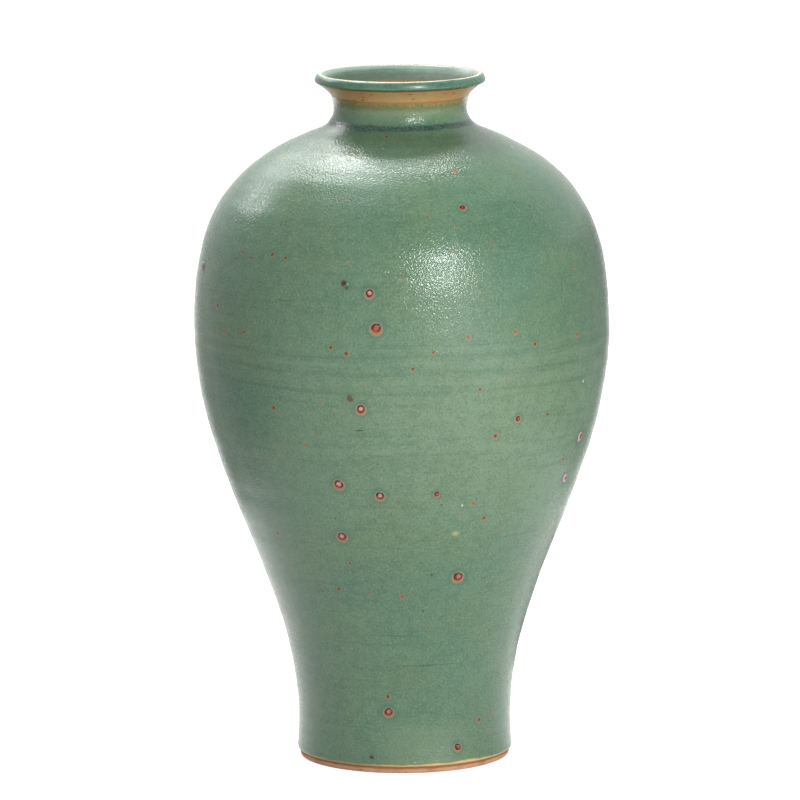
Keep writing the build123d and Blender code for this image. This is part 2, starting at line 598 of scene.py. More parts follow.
BEADS = (
    Bead(7.1, -17.6, 1.4, 0.2, 0.0, halo=False, squat=0.6),
    Bead(10.5, 29.6, 1.4, 0.3, 0.1),
    Bead(27.5, -8.5, 1.7, 0.55, 0.7),
    Bead(89.3, 21.7, 2.0, 0.5, 0.4),
    Bead(108.5, -21.7, 1.9, 0.8, 0.1),
    Bead(127.7, 63.5, 1.9, 1.3, 0.0),
    Bead(128.0, -7.2, 1.7, 0.85, 0.2),
    Bead(128.5, 10.6, 1.1, 0.3, 0.1),
    Bead(132.7, -20.0, 1.9, 0.85, 0.2),
    Bead(145.8, 65.6, 2.2, 1.3, 0.0),
    Bead(159.9, 34.3, 1.2, 0.2, 0.2),
    Bead(166.8, -11.5, 1.7, 1.0, 0.3),
    Bead(171.3, -14.2, 1.65, 0.7, 0.0, halo=False),
    Bead(201.8, -6.9, 2.0, 0.3, 0.8),
    Bead(216.3, -8.8, 1.6, 0.9, 0.2),
    Bead(219.0, -76.5, 1.9, 1.3, 0.0),
    Bead(220.1, -16.0, 1.6, 0.0, 0.0, halo=False),
    Bead(250.1, 20.4, 1.2, 0.1, 0.3),
)

SPECKS = {
    SpotKind.RED: (
        (230.0, -39.9, 1.0), (229.4, -52.3, 0.8), (229.1, -35.0, 0.8), (227.6, -48.0, 0.7),
        (205.1, -61.5, 1.1), (196.2, -48.3, 0.8), (275.8, -9.9, 0.9), (193.0, -19.5, 0.9),
        (190.7, -15.1, 1.0), (184.4, 2.9, 0.8), (164.8, -38.4, 1.0), (106.0, -50.8, 1.1),
        (174.3, 21.6, 0.8), (153.2, 27.3, 1.1), (159.9, 45.3, 0.8), (137.4, 58.1, 0.9),
        (115.9, 27.8, 1.0), (191.6, 38.7, 0.9), (191.1, 8.4, 0.7), (83.5, -27.2, 0.9),
        (95.7, -20.4, 0.7), (34.5, -8.7, 1.0), (21.1, 44.0, 1.1),
    ),
    SpotKind.AMBER: (
        (194.7, -57.4, 1.1), (263.3, 22.5, 1.1), (197.9, 32.2, 1.0), (192.7, 56.0, 1.0),
        (197.1, 18.1, 1.0), (149.6, -29.2, 0.7), (123.2, 23.1, 0.8), (81.0, -0.5, 0.9),
    ),
    SpotKind.FAINT: (
        (223.2, 0.4, 0.9), (228.7, -14.6, 0.8), (254.0, -18.9, 0.7), (246.8, 8.2, 0.9),
        (242.8, 17.3, 0.9), (232.8, 14.9, 1.0), (235.0, 27.6, 0.8), (252.3, 44.7, 0.8),
        (220.8, 57.4, 0.9), (163.3, -26.1, 0.8), (168.4, -23.0, 0.8), (112.3, -25.5, 0.8),
        (122.8, -54.3, 0.8), (177.4, 29.3, 0.8), (118.4, 19.7, 0.7), (109.8, 34.8, 0.7),
        (82.3, -14.0, 0.8), (66.1, 11.4, 0.8), (72.7, -18.3, 0.8), (22.0, 54.5, 0.9),
        (5.1, -8.1, 0.8), (47.6, 57.7, 0.8),
    ),
    SpotKind.DARK: (
        (250.3, 40.5, 0.6), (248.1, 46.1, 0.6), (222.6, 71.7, 0.8), (116.8, -23.0, 0.6),
        (123.4, 12.4, 0.6), (74.0, 8.3, 0.6), (90.8, 10.9, 0.6),
    ),
    SpotKind.WHITE: ((122.6, 19.3, 0.6), (171.2, 60.8, 0.7), (268.8, 72.8, 0.7)),
}

SCORES = (
    Spot(157.3, -12.2, 2.2, SpotKind.DARK, 0.45),
    Spot(109.7, 18.2, 2.4, SpotKind.PALE, 1.6),
    Spot(218.4, -15.2, 1.5, SpotKind.SMUDGE),
    Spot(48.4, 10.1, 24.0, SpotKind.SCORE, 0.4),
    Spot(62.4, -5.3, 14.0, SpotKind.SCORE, 0.35),
    Spot(211.6, -34.1, 7.0, SpotKind.SCORE, 0.35),
)

NECK_SPOTS = (
    Spot(294.7, -29.0, 0.9, SpotKind.PIT, 0.45),
    Spot(292.8, -30.5, 0.6, SpotKind.PIT, 0.5),
    Spot(291.2, -32.0, 0.8, SpotKind.PIT, 0.5),
    Spot(290.8, -41.5, 0.55, SpotKind.PIT),
    Spot(294.2, -22.0, 0.9, SpotKind.PIT, 0.4),
    Spot(293.5, -8.0, 0.5, SpotKind.FAINT, 0.3),
    Spot(294.4, 7.5, 1.4, SpotKind.PIT, 0.5),
    Spot(292.1, 10.5, 0.9, SpotKind.PIT, 0.5),
    Spot(294.5, 18.0, 1.3, SpotKind.DARK, 0.35),
    Spot(293.8, 36.5, 0.6, SpotKind.RED, 0.3),
    Spot(293.7, 45.0, 0.6, SpotKind.RED, 0.4),
    Spot(293.1, 95.0, 0.6, SpotKind.DARK, 0.35),
    Spot(294.3, 128.0, 0.5, SpotKind.DARK, 0.3),
    Spot(292.2, 171.0, 0.5, SpotKind.RED, 0.4),
    Spot(294.0, 214.0, 0.7, SpotKind.DARK, 0.3),
    Spot(292.9, 262.0, 0.5, SpotKind.DARK, 0.4),
)


@dataclass(frozen=True)
class BackSpots:
    """The scatter of iron spots on the side away from the front."""

    seed: int = 11
    count: int = 64
    lowest: float = 12.0
    highest: float = 266.0
    first_bearing: float = 88.0
    last_bearing: float = 272.0
    kinds: tuple[SpotKind, ...] = (SpotKind.RED, SpotKind.AMBER, SpotKind.FAINT, SpotKind.DARK)
    kind_shares: tuple[float, ...] = (0.4, 0.18, 0.3, 0.12)
    small: tuple[float, float] = (0.4, 0.7)
    large: tuple[float, float] = (1.2, 1.9)
    large_share: float = 0.16

    def spots(self) -> list[Spot]:
        """Scatters the spots, the same way at each run.

        Returns:
            The spots.
        """
        chance = np.random.default_rng(self.seed)
        found = []
        for _ in range(self.count):
            height = chance.uniform(self.lowest, self.highest)
            bearing = chance.uniform(self.first_bearing, self.last_bearing)
            kind = self.kinds[chance.choice(len(self.kinds), p=self.kind_shares)]
            across = chance.uniform(*self.small)
            if chance.uniform() < self.large_share:
                kind, across = SpotKind.BEAD, chance.uniform(*self.large)
            found.append(Spot(height, bearing, across, kind))
        return found


def all_spots() -> list[Spot]:
    """Every spot in the body glaze: beads, specks, score lines and the back's scatter.

    Returns:
        The spots, those of the beads first.
    """
    specks = [
        Spot(height, bearing, across, kind)
        for kind, rows in SPECKS.items()
        for height, bearing, across in rows
    ]
    return [*[bead.spot() for bead in BEADS], *specks, *SCORES, *BackSpots().spots()]


def store(piece: bpy.types.Object, name: str, kind: str, domain: str, values: np.ndarray) -> None:
    """Keeps values on a mesh for its finish to read.

    Args:
        piece: The mesh piece.
        name: Name of the values.
        kind: FLOAT_VECTOR or FLOAT_COLOR.
        domain: POINT or CORNER.
        values: One row for each point or corner.
    """
    made = piece.data.attributes.new(name, kind, domain)
    part = "vector" if kind == "FLOAT_VECTOR" else "color"
    made.data.foreach_set(part, values.astype(np.float32).ravel())


@dataclass(frozen=True)
class SpotMap:
    """Where a turned wall's faces lie in the spots on it."""

    path: Path
    lengths: np.ndarray
    segments: int
    farthest: float = 4.2
    nowhere: Place = (9.0, 9.0, 0.0)

    def lay(self, piece: bpy.types.Object, spots: Sequence[Spot]) -> None:
        """Tells each face corner of the wall where it lies in its nearest spot.

        Args:
            piece: The turned piece, whose first rings are the wall.
            spots: The spots on the wall.
        """
        quads = (len(self.lengths) - 1) * self.segments
        corners = np.tile(self.nowhere, (len(piece.data.loops), 1))
        strengths = np.zeros((len(piece.data.loops), 4))
        ring, segment = np.divmod(np.arange(quads), self.segments)
        rows = np.stack([ring, ring, ring + 1, ring + 1], axis=1)
        columns = np.stack([segment, segment + 1, segment + 1, segment], axis=1)
        along = self.lengths[rows]
        radius = self.path.at(self.lengths)[rows, 0]
        bearings = columns * (2 * math.pi / self.segments) - math.pi
        nearest = np.full(quads, self.farthest)
        for spot in spots:
            turned = bearings - math.radians(spot.bearing)
            turned -= 2 * math.pi * np.round(turned.mean(axis=1, keepdims=True) / (2 * math.pi))
            u = turned * radius / spot.across
            v = (along - self.path.length_at(spot.height)) / spot.half_height
            reach = np.hypot(u, v).min(axis=1)
            won = reach < nearest
            nearest[won] = reach[won]
            chosen = np.flatnonzero(won)[:, None] * 4 + np.arange(4)
            core, halo, aura, tone = spot.kind.value
            corners[chosen] = np.stack([u[won], v[won], np.full_like(u[won], tone)], axis=-1)
            strengths[chosen] = (core, halo, aura, 1.0)
        store(piece, "spot_place", "FLOAT_VECTOR", "CORNER", corners)
        store(piece, "spot_strength", "FLOAT_COLOR", "CORNER", strengths)


@dataclass(frozen=True)
class Ridge:
    """One ring that a finger left: height, half width and lift in mm."""

    height: float
    half_width: float
    lift: float


@dataclass(frozen=True)
class ThrowingMarks:
    """The rings and ridges of a thrown wall, in mm; each wave is a pitch and a depth."""

    waves: tuple[tuple[float, float], ...] = (
        (3.7, 0.005), (5.9, 0.01), (9.4, 0.022), (17.0, 0.045), (41.0, 0.08),
    )
    ridges: tuple[Ridge, ...] = (
        Ridge(190.3, 2.2, 0.1),
        Ridge(183.8, 2.4, 0.15),
        Ridge(175.9, 2.8, 0.12),
        Ridge(211.0, 3.4, 0.05),
        Ridge(251.5, 3.0, 0.05),
        Ridge(148.0, 4.0, 0.05),
    )
    wander: float = 0.5
    swell: float = 0.45
    tilt: float = 0.4
    seed: int = 7

    def lift(self, path: Path, lengths: np.ndarray, bearings: np.ndarray) -> np.ndarray:
        """Works out how far the wall stands proud.

        Args:
            path: The section's outside.
            lengths: Lengths along it.
            bearings: Bearings in radians.

        Returns:
            The lift in mm by length and bearing.
        """
        chance = np.random.default_rng(self.seed)
        heights = path.at(lengths)[:, 1][:, None]
        around = bearings[None, :]
        total = np.zeros((len(lengths), len(bearings)))
        for wave, depth in self.waves:
            start, lean, turn = chance.uniform(0, 2 * math.pi, 3)
            drift = self.wander * np.sin(around + lean) + around * chance.integers(-1, 2)
            strength = 1 + self.swell * np.sin(2 * around + turn)
            phase = 2 * math.pi * lengths[:, None] / wave + start + drift
            total += depth * strength * np.sin(phase)
        for ridge in self.ridges:
            start, lean = chance.uniform(0, 2 * math.pi, 2)
            middle = ridge.height + self.tilt * np.sin(around + start)
            strength = 1 + self.swell * np.sin(around + lean)
            total += ridge.lift * strength * np.exp(-(((heights - middle) / ridge.half_width) ** 2))
        return total


class Bench:
    """The nodes of one finish, with short ways to lay them; it reads places in mm."""

    def __init__(self, name: str) -> None:
        """Begins a finish with an empty principled shader.

        Args:
            name: Name of the finish.
        """
        self.material = bpy.data.materials.new(name)
        self.tree = fresh_tree(self.material)
        self.shader = self.lay("ShaderNodeBsdfPrincipled")
        self.lay("ShaderNodeOutputMaterial", {"Surface": self.shader.outputs[0]})
        self.place = self.lay("ShaderNodeTexCoord").outputs["Object"]
        in_mm = self.vector("SCALE", {0: self.place, "Scale": 1 / MM}).outputs[0]
        self.side, self.back, self.height = self.lay("ShaderNodeSeparateXYZ", {0: in_mm}).outputs
        self.radius = self.length(in_mm)

    def lay(
        self, kind: str, feeds: Optional[dict[Union[str, int], Feed]] = None, **settings: object
    ) -> bpy.types.Node:
        """Lays one node.

        Args:
            kind: Blender's name for the node.
            feeds: What goes into its sockets, by name or number.
            settings: Properties of the node.

        Returns:
            The node.
        """
        node = self.tree.nodes.new(kind)
        for key, value in settings.items():
            setattr(node, key, value)
        for key, value in (feeds or {}).items():
            self.feed(node.inputs[key], value)
        return node

    def feed(self, socket: Socket, value: Feed) -> None:
        """Links a socket to another, or sets it to a plain value.

        Args:
            socket: The socket to feed.
            value: A socket or a plain value.
        """
        if isinstance(value, Socket):
            self.tree.links.new(value, socket)
        else:
            socket.default_value = value

    def vector(self, operation: str, feeds: dict[Union[str, int], Feed]) -> bpy.types.Node:
        """One sum of vectors, by Blender's name for it."""
        return self.lay("ShaderNodeVectorMath", feeds, operation=operation)

    def maths(self, operation: str, first: Feed, second: Feed) -> Socket:
        """One sum of two values, by Blender's name for it."""
        return self.lay("ShaderNodeMath", {0: first, 1: second}, operation=operation).outputs[0]

    def times(self, first: Feed, second: Feed) -> Socket:
        """One value times another."""
        return self.maths("MULTIPLY", first, second)

    def plus(self, first: Feed, second: Feed) -> Socket:
        """One value plus another."""
        return self.maths("ADD", first, second)

    def length(self, vector: Feed, shift: Place = (0, 0, 0)) -> Socket:
        """How far a shifted vector's first two parts reach."""
        flat = self.vector("MULTIPLY_ADD", {0: vector, 1: (1, 1, 0), 2: shift})
        return self.vector("LENGTH", {0: flat.outputs[0]}).outputs["Value"]

    def noise(self, size: float, detail: float = 2.0, stretch: Place = EVEN) -> Socket:
        """A soft random field, 0 to 1.

        Args:
            size: Size of its blotches in mm.
            detail: Finer layers.
            stretch: How much finer it is along each axis.

        Returns:
            The field.
        """
        place = self.place
        if stretch != EVEN:
            place = self.vector("MULTIPLY", {0: place, 1: stretch}).outputs[0]
        feeds = {"Vector": place, "Scale": 1 / (size * MM), "Detail": detail}
        return self.lay("ShaderNodeTexNoise", feeds).outputs[0]

    def span(
        self, value: Feed, low: float, high: float, start: float = 0.0, end: float = 1.0
    ) -> Socket:
        """Carries a value smoothly from start at low to end at high.

        Args:
            value: The value to read.
            low: Where the change begins.
            high: Where it ends, which may be under low.
            start: Result at low.
            end: Result at high.

        Returns:
            The result.
        """
        if low > high:
            low, high, start, end = high, low, end, start
        feeds = {"Value": value, "From Min": low, "From Max": high, "To Min": start, "To Max": end}
        return self.lay("ShaderNodeMapRange", feeds, interpolation_type="SMOOTHSTEP").outputs[0]

    def band(
        self, value: Feed, low: float, high: float, soft: float, strength: float = 1.0
    ) -> Socket:
        """Holds a strength between low and high, and fades to 0 on both sides.

        Args:
            value: The value to read.
            low: Where the full strength begins.
            high: Where it ends.
            soft: Width of the fading on each side.
            strength: Result between low and high.

        Returns:
            The result.
        """
        rise = self.span(value, low - soft, low, 0.0, strength)
        return self.times(rise, self.span(value, high + soft, high))

    def wavy_height(self, size: float, reach: float) -> Socket:
        """The height in mm, raised by up to a reach in blotches of a size."""
        return self.plus(self.height, self.times(self.noise(size), reach))

    def mix(self, share: Feed, under: Feed, over: Feed) -> Socket:
        """Lays one colour over another by a share."""
        return self.lay("ShaderNodeMix", {0: share, 6: under, 7: over}, data_type="RGBA").outputs[2]

    def stops(self, value: Feed, rows: Sequence[tuple[float, Colour]]) -> Socket:
        """Reads a colour from a row of stops.

        Args:
            value: Where to read, 0 to 1.
            rows: Places and their colours.

        Returns:
            The colour.
        """
        node = self.lay("ShaderNodeValToRGB", {0: value})
        while len(node.color_ramp.elements) < len(rows):
            node.color_ramp.elements.new(0.5)
        for element, (place, colour) in zip(node.color_ramp.elements, rows):
            element.position = place
            element.color = colour
        return node.outputs[0]

    def attribute(self, name: str) -> bpy.types.Node:
        """Reads a value that the mesh carries."""
        return self.lay("ShaderNodeAttribute", attribute_name=name)

    def done(
        self,
        colour: Feed,
        rough: Feed,
        normal: Optional[Socket] = None,
        ior: Optional[float] = None,
    ) -> bpy.types.Material:
        """Feeds the shader.

        Args:
            colour: The finish's colour.
            rough: Its roughness.
            normal: Its bent surface direction, if it has relief.
            ior: Its index of refraction, if it isn't the shader's own.

        Returns:
            The finished material.
        """
        feeds = {"Base Color": colour, "Roughness": rough, "Normal": normal, "IOR": ior}
        for key, value in feeds.items():
            if value is not None:
                self.feed(self.shader.inputs[key], value)
        return self.material


@dataclass(frozen=True)
class Stray:
    """A value that strays between low and high: size of its blotches in mm and finer layers."""

    size: float
    detail: float
    low: float
    high: float

    def value(self, bench: Bench) -> Socket:
        """Lays the value."""
        return bench.span(bench.noise(self.size, self.detail), *STRAY, self.low, self.high)


@dataclass(frozen=True)
class Grain:
    """A relief of the surface: size of its lumps and its depth in mm, and finer layers."""

    size: float
    depth: float
    detail: float = 2.0

    def bump(self, bench: Bench, under: Optional[Socket] = None) -> Socket:
        """Roughens the surface.

        Args:
            bench: The finish's nodes.
            under: A coarser relief that this one lies on.

        Returns:
            The bent surface direction.
        """
        lumps = bench.noise(self.size, self.detail)
        feeds = {"Height": lumps, "Distance": self.depth * MM, "Strength": 1.0}
        if under is not None:
            feeds["Normal"] = under
        return bench.lay("ShaderNodeBump", feeds).outputs[0]


@dataclass(frozen=True)
class Fade:
    """A change along a value, from a station: where it begins, where it is full and how strong."""

    start: float
    full: float
    strength: float = 1.0

    def share(self, bench: Bench, value: Socket, station: float = 0.0) -> Socket:
        """Lays the change along a value."""
        return bench.span(value, station + self.start, station + self.full, 0.0, self.strength)


@dataclass(frozen=True)
class Band:
    """A band along a value, from a station: its two ends, its soft width and how strong it is."""

    low: float
    high: float
    soft: float
    strength: float = 1.0

    def share(self, bench: Bench, value: Socket, station: float = 0.0) -> Socket:
        """Lays the band along a value."""
        return bench.band(value, station + self.low, station + self.high, self.soft, self.strength)


@dataclass(frozen=True)
class Mottle:
    """One layer of blotches: colour, size in mm, finer layers, and where in the noise it shows."""

    colour: Colour
    size: float
    detail: float
    low: float
    high: float
    strength: float = 1.0
    stretch: Place = EVEN

    def over(self, bench: Bench, under: Feed) -> Socket:
        """Lays the blotches over a colour.

        Args:
            bench: The finish's nodes.
            under: The colour under them.

        Returns:
            The mottled colour.
        """
        blotches = bench.noise(self.size, self.detail, self.stretch)
        share = bench.span(blotches, self.low, self.high, 0.0, self.strength)
        return bench.mix(share, under, self.colour)


def mottled(bench: Bench, colour: Feed, *layers: Mottle) -> Feed:
    """Lays layers of blotches over a colour, the first one lowest.

    Args:
        bench: The finish's nodes.
        colour: The colour under the blotches.
        layers: The blotches.

    Returns:
        The mottled colour.
    """
    for layer in layers:
        colour = layer.over(bench, colour)
    return colour


@dataclass(frozen=True)
class Belt:
    """A belt of heights in mm, whose strength changes from one side of the pot to the other."""

    low: float
    high: float
    soft: float
    left: float
    right: float
    left_strength: float
    right_strength: float

    def over(self, bench: Bench, under: Feed, colour: Colour) -> Socket:
        """Lays a colour over another in the belt.

        Args:
            bench: The finish's nodes.
            under: The colour under the belt.
            colour: The belt's colour.

        Returns:
            The colour with its belt.
        """
        strengths = self.left_strength, self.right_strength
        across = bench.span(bench.side, self.left, self.right, *strengths)
        around = bench.band(bench.height, self.low, self.high, self.soft)
        return bench.mix(bench.times(around, across), under, colour)


@dataclass(frozen=True)
class IronSpots:
    """Iron that has bled through: a core, an amber halo lower down and a bluer aura.

    Its fades are in shares of the spot's half width.
    """

    aura: Colour = paint(62, 104, 90)
    halo_inner: Colour = paint(178, 104, 62)
    halo_outer: Colour = paint(182, 150, 96)
    tones: tuple[tuple[float, Colour], ...] = (
        (0.0, paint(42, 30, 24)),
        (0.35, paint(122, 48, 36)),
        (0.7, paint(176, 110, 62)),
        (0.85, paint(186, 186, 136)),
        (1.0, paint(222, 220, 204)),
    )
    ragged: Stray = Stray(1.1, 1.0, -0.08, 0.08)
    halo_drop: Place = (0.0, 0.24, 0.0)
    aura_fade: Fade = Fade(3.2, 1.2, 0.5)
    outer_fade: Fade = Fade(0.95, 1.45)
    halo_fade: Fade = Fade(1.8, 0.86)
    core_fade: Fade = Fade(1.1, 0.15)

    def over(self, bench: Bench, colour: Feed) -> Socket:
        """Lays the spots that the mesh carries over a colour.

        Args:
            bench: The finish's nodes.
            colour: The colour between the spots.

        Returns:
            The colour with its spots.
        """
        place = bench.attribute("spot_place").outputs[1]
        carried = bench.attribute("spot_strength").outputs[0]
        core, halo, aura = bench.lay("ShaderNodeSeparateColor", {0: carried}).outputs
        tone = bench.lay("ShaderNodeSeparateXYZ", {0: place}).outputs[2]
        ragged = self.ragged.value(bench)
        reach = bench.plus(bench.length(place), ragged)
        low_reach = bench.plus(bench.length(place, self.halo_drop), ragged)
        around = bench.times(self.aura_fade.share(bench, reach), aura)
        colour = bench.mix(around, colour, self.aura)
        outer = self.outer_fade.share(bench, low_reach)
        ring = bench.mix(outer, self.halo_inner, self.halo_outer)
        spread = bench.times(self.halo_fade.share(bench, low_reach), halo)
        colour = bench.mix(spread, colour, ring)
        middle = bench.times(self.core_fade.share(bench, reach), core)
        return bench.mix(middle, colour, bench.stops(tone, self.tones))


@dataclass(frozen=True)
class GreenGlaze:
    """The satin green glaze of the body, with its iron spots and thin edges.

    Each of its rings is a height, a half width and a strength, + where the glaze is thin and -
    where it has pooled. Its fades and bands are in mm from the neck's root, the glaze's upper edge
    or its lower edge.
    """

    main: Colour = paint(97, 128, 103)
    olive: Colour = paint(106, 127, 93)
    # deep green: real blotches and grooves, also the painted shade high on the right
    deep: Colour = paint(68, 101, 82)
    # pale green: real pale blotches and ring crests, also the painted light low on the right and
    # the painted highlight above the foot
    light: Colour = paint(132, 150, 123)
    # dark ring in the crease at the neck's root: partly pooled glaze, partly painted shade of the
    # crease
    crease_dark: Colour = paint(48, 74, 66)
    straw: Colour = paint(182, 146, 94)
    thin: Colour = paint(124, 124, 82)
    cream: Colour = paint(222, 194, 132)
    # painted shade on the shoulder just under the neck's root
    root_shade_green: Colour = paint(64, 88, 66)
    teal: Colour = paint(80, 116, 100)
    neck: Colour = paint(150, 160, 112)
    # painted light: a lighter belt low on the right of the belly
    painted_light_belt: Belt = Belt(138.0, 165.0, 50.0, -75.0, 35.0, 0.02, 0.36)
    # painted shade: a darker belt high on the right of the body
    painted_shade_belt: Belt = Belt(205.0, 245.0, 45.0, 10.0, 80.0, 0.0, 0.34)
    ring_rows: tuple[tuple[float, float, float], ...] = (
        (191.6, 1.3, 0.16), (188.6, 1.2, -0.3), (185.6, 1.5, 0.22),
        (181.6, 1.4, -0.34), (177.2, 2.2, 0.16), (173.6, 1.5, -0.28),
        (211.5, 1.0, -0.14), (148.0, 3.0, 0.14), (143.0, 1.8, -0.12),
    )
    ring_wander: float = 1.0
    edge_wave: tuple[float, float] = (7.0, 1.4)
    edge_lap: float = 0.7
    crease_rise: float = 4.6
    root_shade: Band = Band(-9.0, 0.0, 3.5, 0.22)
    root_crease: Band = Band(0.0, 1.0, 1.2)
    neck_start: float = 2.0
    neck_end: float = 3.0
    neck_strength: float = 0.36
    torn: Stray = Stray(1.3, 3.0, -0.6, 0.6)
    thin_top: Fade = Fade(-5.4, -2.2, 0.6)
    straw_top: Fade = Fade(-2.6, -0.4)
    # painted highlight on the front, just above the foot
    foot_highlight: Band = Band(2.0, 14.0, 9.0)
    front_highlight: Fade = Fade(0.0, -20.0, 0.32)
    thin_foot: Fade = Fade(2.3, 1.2, 0.6)
    cream_foot: Fade = Fade(1.7, 0.75)
    roughness: Stray = Stray(2.2, 3.0, 0.13, 0.21)
    grain: Grain = Grain(0.8, 0.2, 1.0)
    swell: Grain = Grain(4.5, 0.04)
    ior: float = 1.36

    def ground(self, bench: Bench) -> Feed:
        """The mottled green away from edges and spots, with painted light low on the right and
        painted shade high on the right.

        Args:
            bench: The finish's nodes.

        Returns:
            The colour.
        """
        # painted light low on the right, then painted shade high on the right
        colour = self.painted_light_belt.over(bench, self.main, self.light)
        colour = self.painted_shade_belt.over(bench, colour, self.deep)
        return mottled(
            bench,
            colour,
            Mottle(self.olive, 26, 3.0, 0.4, 0.68, 0.4),
            Mottle(self.deep, 34, 5.0, 0.52, 0.74, 0.34, (1, 1, 16)),
            Mottle(self.teal, 44, 3.0, 0.46, 0.7, 0.3),
            Mottle(self.deep, 5.0, 5.0, 0.42, 0.64, 0.24),
            Mottle(self.deep, 1.1, 3.0, 0.5, 0.32, 0.4),
            Mottle(self.light, 0.8, 2.0, 0.5, 0.68, 0.4),
        )

    def rings(self, bench: Bench, colour: Feed) -> Feed:
        """Thins the coat on the throwing ridges and pools it in the grooves between.

        Args:
            bench: The finish's nodes.
            colour: The colour under the rings.

        Returns:
            The colour with its rings.
        """
        wander = bench.span(bench.noise(38), 0.25, 0.75, -self.ring_wander, self.ring_wander)
        height = bench.plus(bench.height, wander)
        broken = bench.span(bench.noise(30, 3.0, (1, 1, 4)), 0.3, 0.62, 0.25, 1.0)
        for middle, half, strength in self.ring_rows:
            ring = bench.band(height, middle, middle, half, abs(strength))
            over = self.light if strength > 0 else self.deep
            colour = bench.mix(bench.times(ring, broken), colour, over)
        return colour

    def neck_edge(self, bench: Bench, colour: Feed, outline: Outline) -> Socket:
        """Adds painted shade on the shoulder under the neck's root, a dark ring in the root's
        crease that is partly pooled glaze and partly painted shade, and the thin glaze above it.

        Args:
            bench: The finish's nodes.
            colour: The colour under the edge.
            outline: The pot's sizes.

        Returns:
            The colour with its edge.
        """
        height = bench.wavy_height(*self.edge_wave)
        root = outline.root[1] + self.crease_rise
        top = outline.glaze_line + self.edge_lap
        # painted shade on the shoulder under the neck's root
        colour = bench.mix(self.root_shade.share(bench, height, root), colour, self.root_shade_green)
        # dark ring in the root's crease: partly pooled glaze, partly painted shade
        patchy = bench.span(bench.noise(0.9), 0.38, 0.58, 0.45, 1.0)
        crease_dark = bench.times(self.root_crease.share(bench, height, root), patchy)
        colour = bench.mix(crease_dark, colour, self.crease_dark)
        ends = root + self.neck_start, top - self.neck_end
        colour = bench.mix(bench.span(height, *ends, 0.0, self.neck_strength), colour, self.neck)
        worn = bench.plus(height, self.torn.value(bench))
        colour = bench.mix(self.thin_top.share(bench, worn, top), colour, self.thin)
        return bench.mix(self.straw_top.share(bench, worn, top), colour, self.straw)

    def foot_edge(self, bench: Bench, colour: Feed, outline: Outline) -> Socket:
        """Adds a painted highlight, pale, on the front just above the foot, and the thin cream line
        under it.

        Args:
            bench: The finish's nodes.
            colour: The colour under the edge.
            outline: The pot's sizes.

        Returns:
            The colour with its edge.
        """
        height = bench.wavy_height(*self.edge_wave)
        side, reach = bench.side, outline.waist_radius
        foot = outline.foot_band + self.edge_lap
        # painted highlight: pale green on the front just above the foot
        highlight = self.foot_highlight.share(bench, height, foot)
        highlight = bench.times(highlight, bench.band(side, 0.1 * reach, 0.3 * reach, 0.5 * reach))
        highlight = bench.times(highlight, self.front_highlight.share(bench, bench.back))
        colour = bench.mix(highlight, colour, self.light)
        height = bench.plus(height, bench.span(side, -reach, reach, 0.45, -0.1))
        height = bench.plus(height, bench.span(side, 0.6 * reach, 0.95 * reach, 0.0, 0.6))
        colour = bench.mix(self.thin_foot.share(bench, height, foot), colour, self.thin)
        bright = bench.span(side, -0.7 * reach, 0.15 * reach, 0.35, 1.0)
        cream = bench.times(self.cream_foot.share(bench, height, foot), bright)
        return bench.mix(cream, colour, self.cream)

    def material(self, outline: Outline) -> bpy.types.Material:
        """Makes the finish.

        Args:
            outline: The pot's sizes.

        Returns:
            The material.
        """
        bench = Bench("green_glaze")
        colour = self.rings(bench, self.ground(bench))
        colour = self.neck_edge(bench, colour, outline)
        colour = IronSpots().over(bench, self.foot_edge(bench, colour, outline))
        grain = self.grain.bump(bench, self.swell.bump(bench))
        return bench.done(colour, self.roughness.value(bench), grain, self.ior)


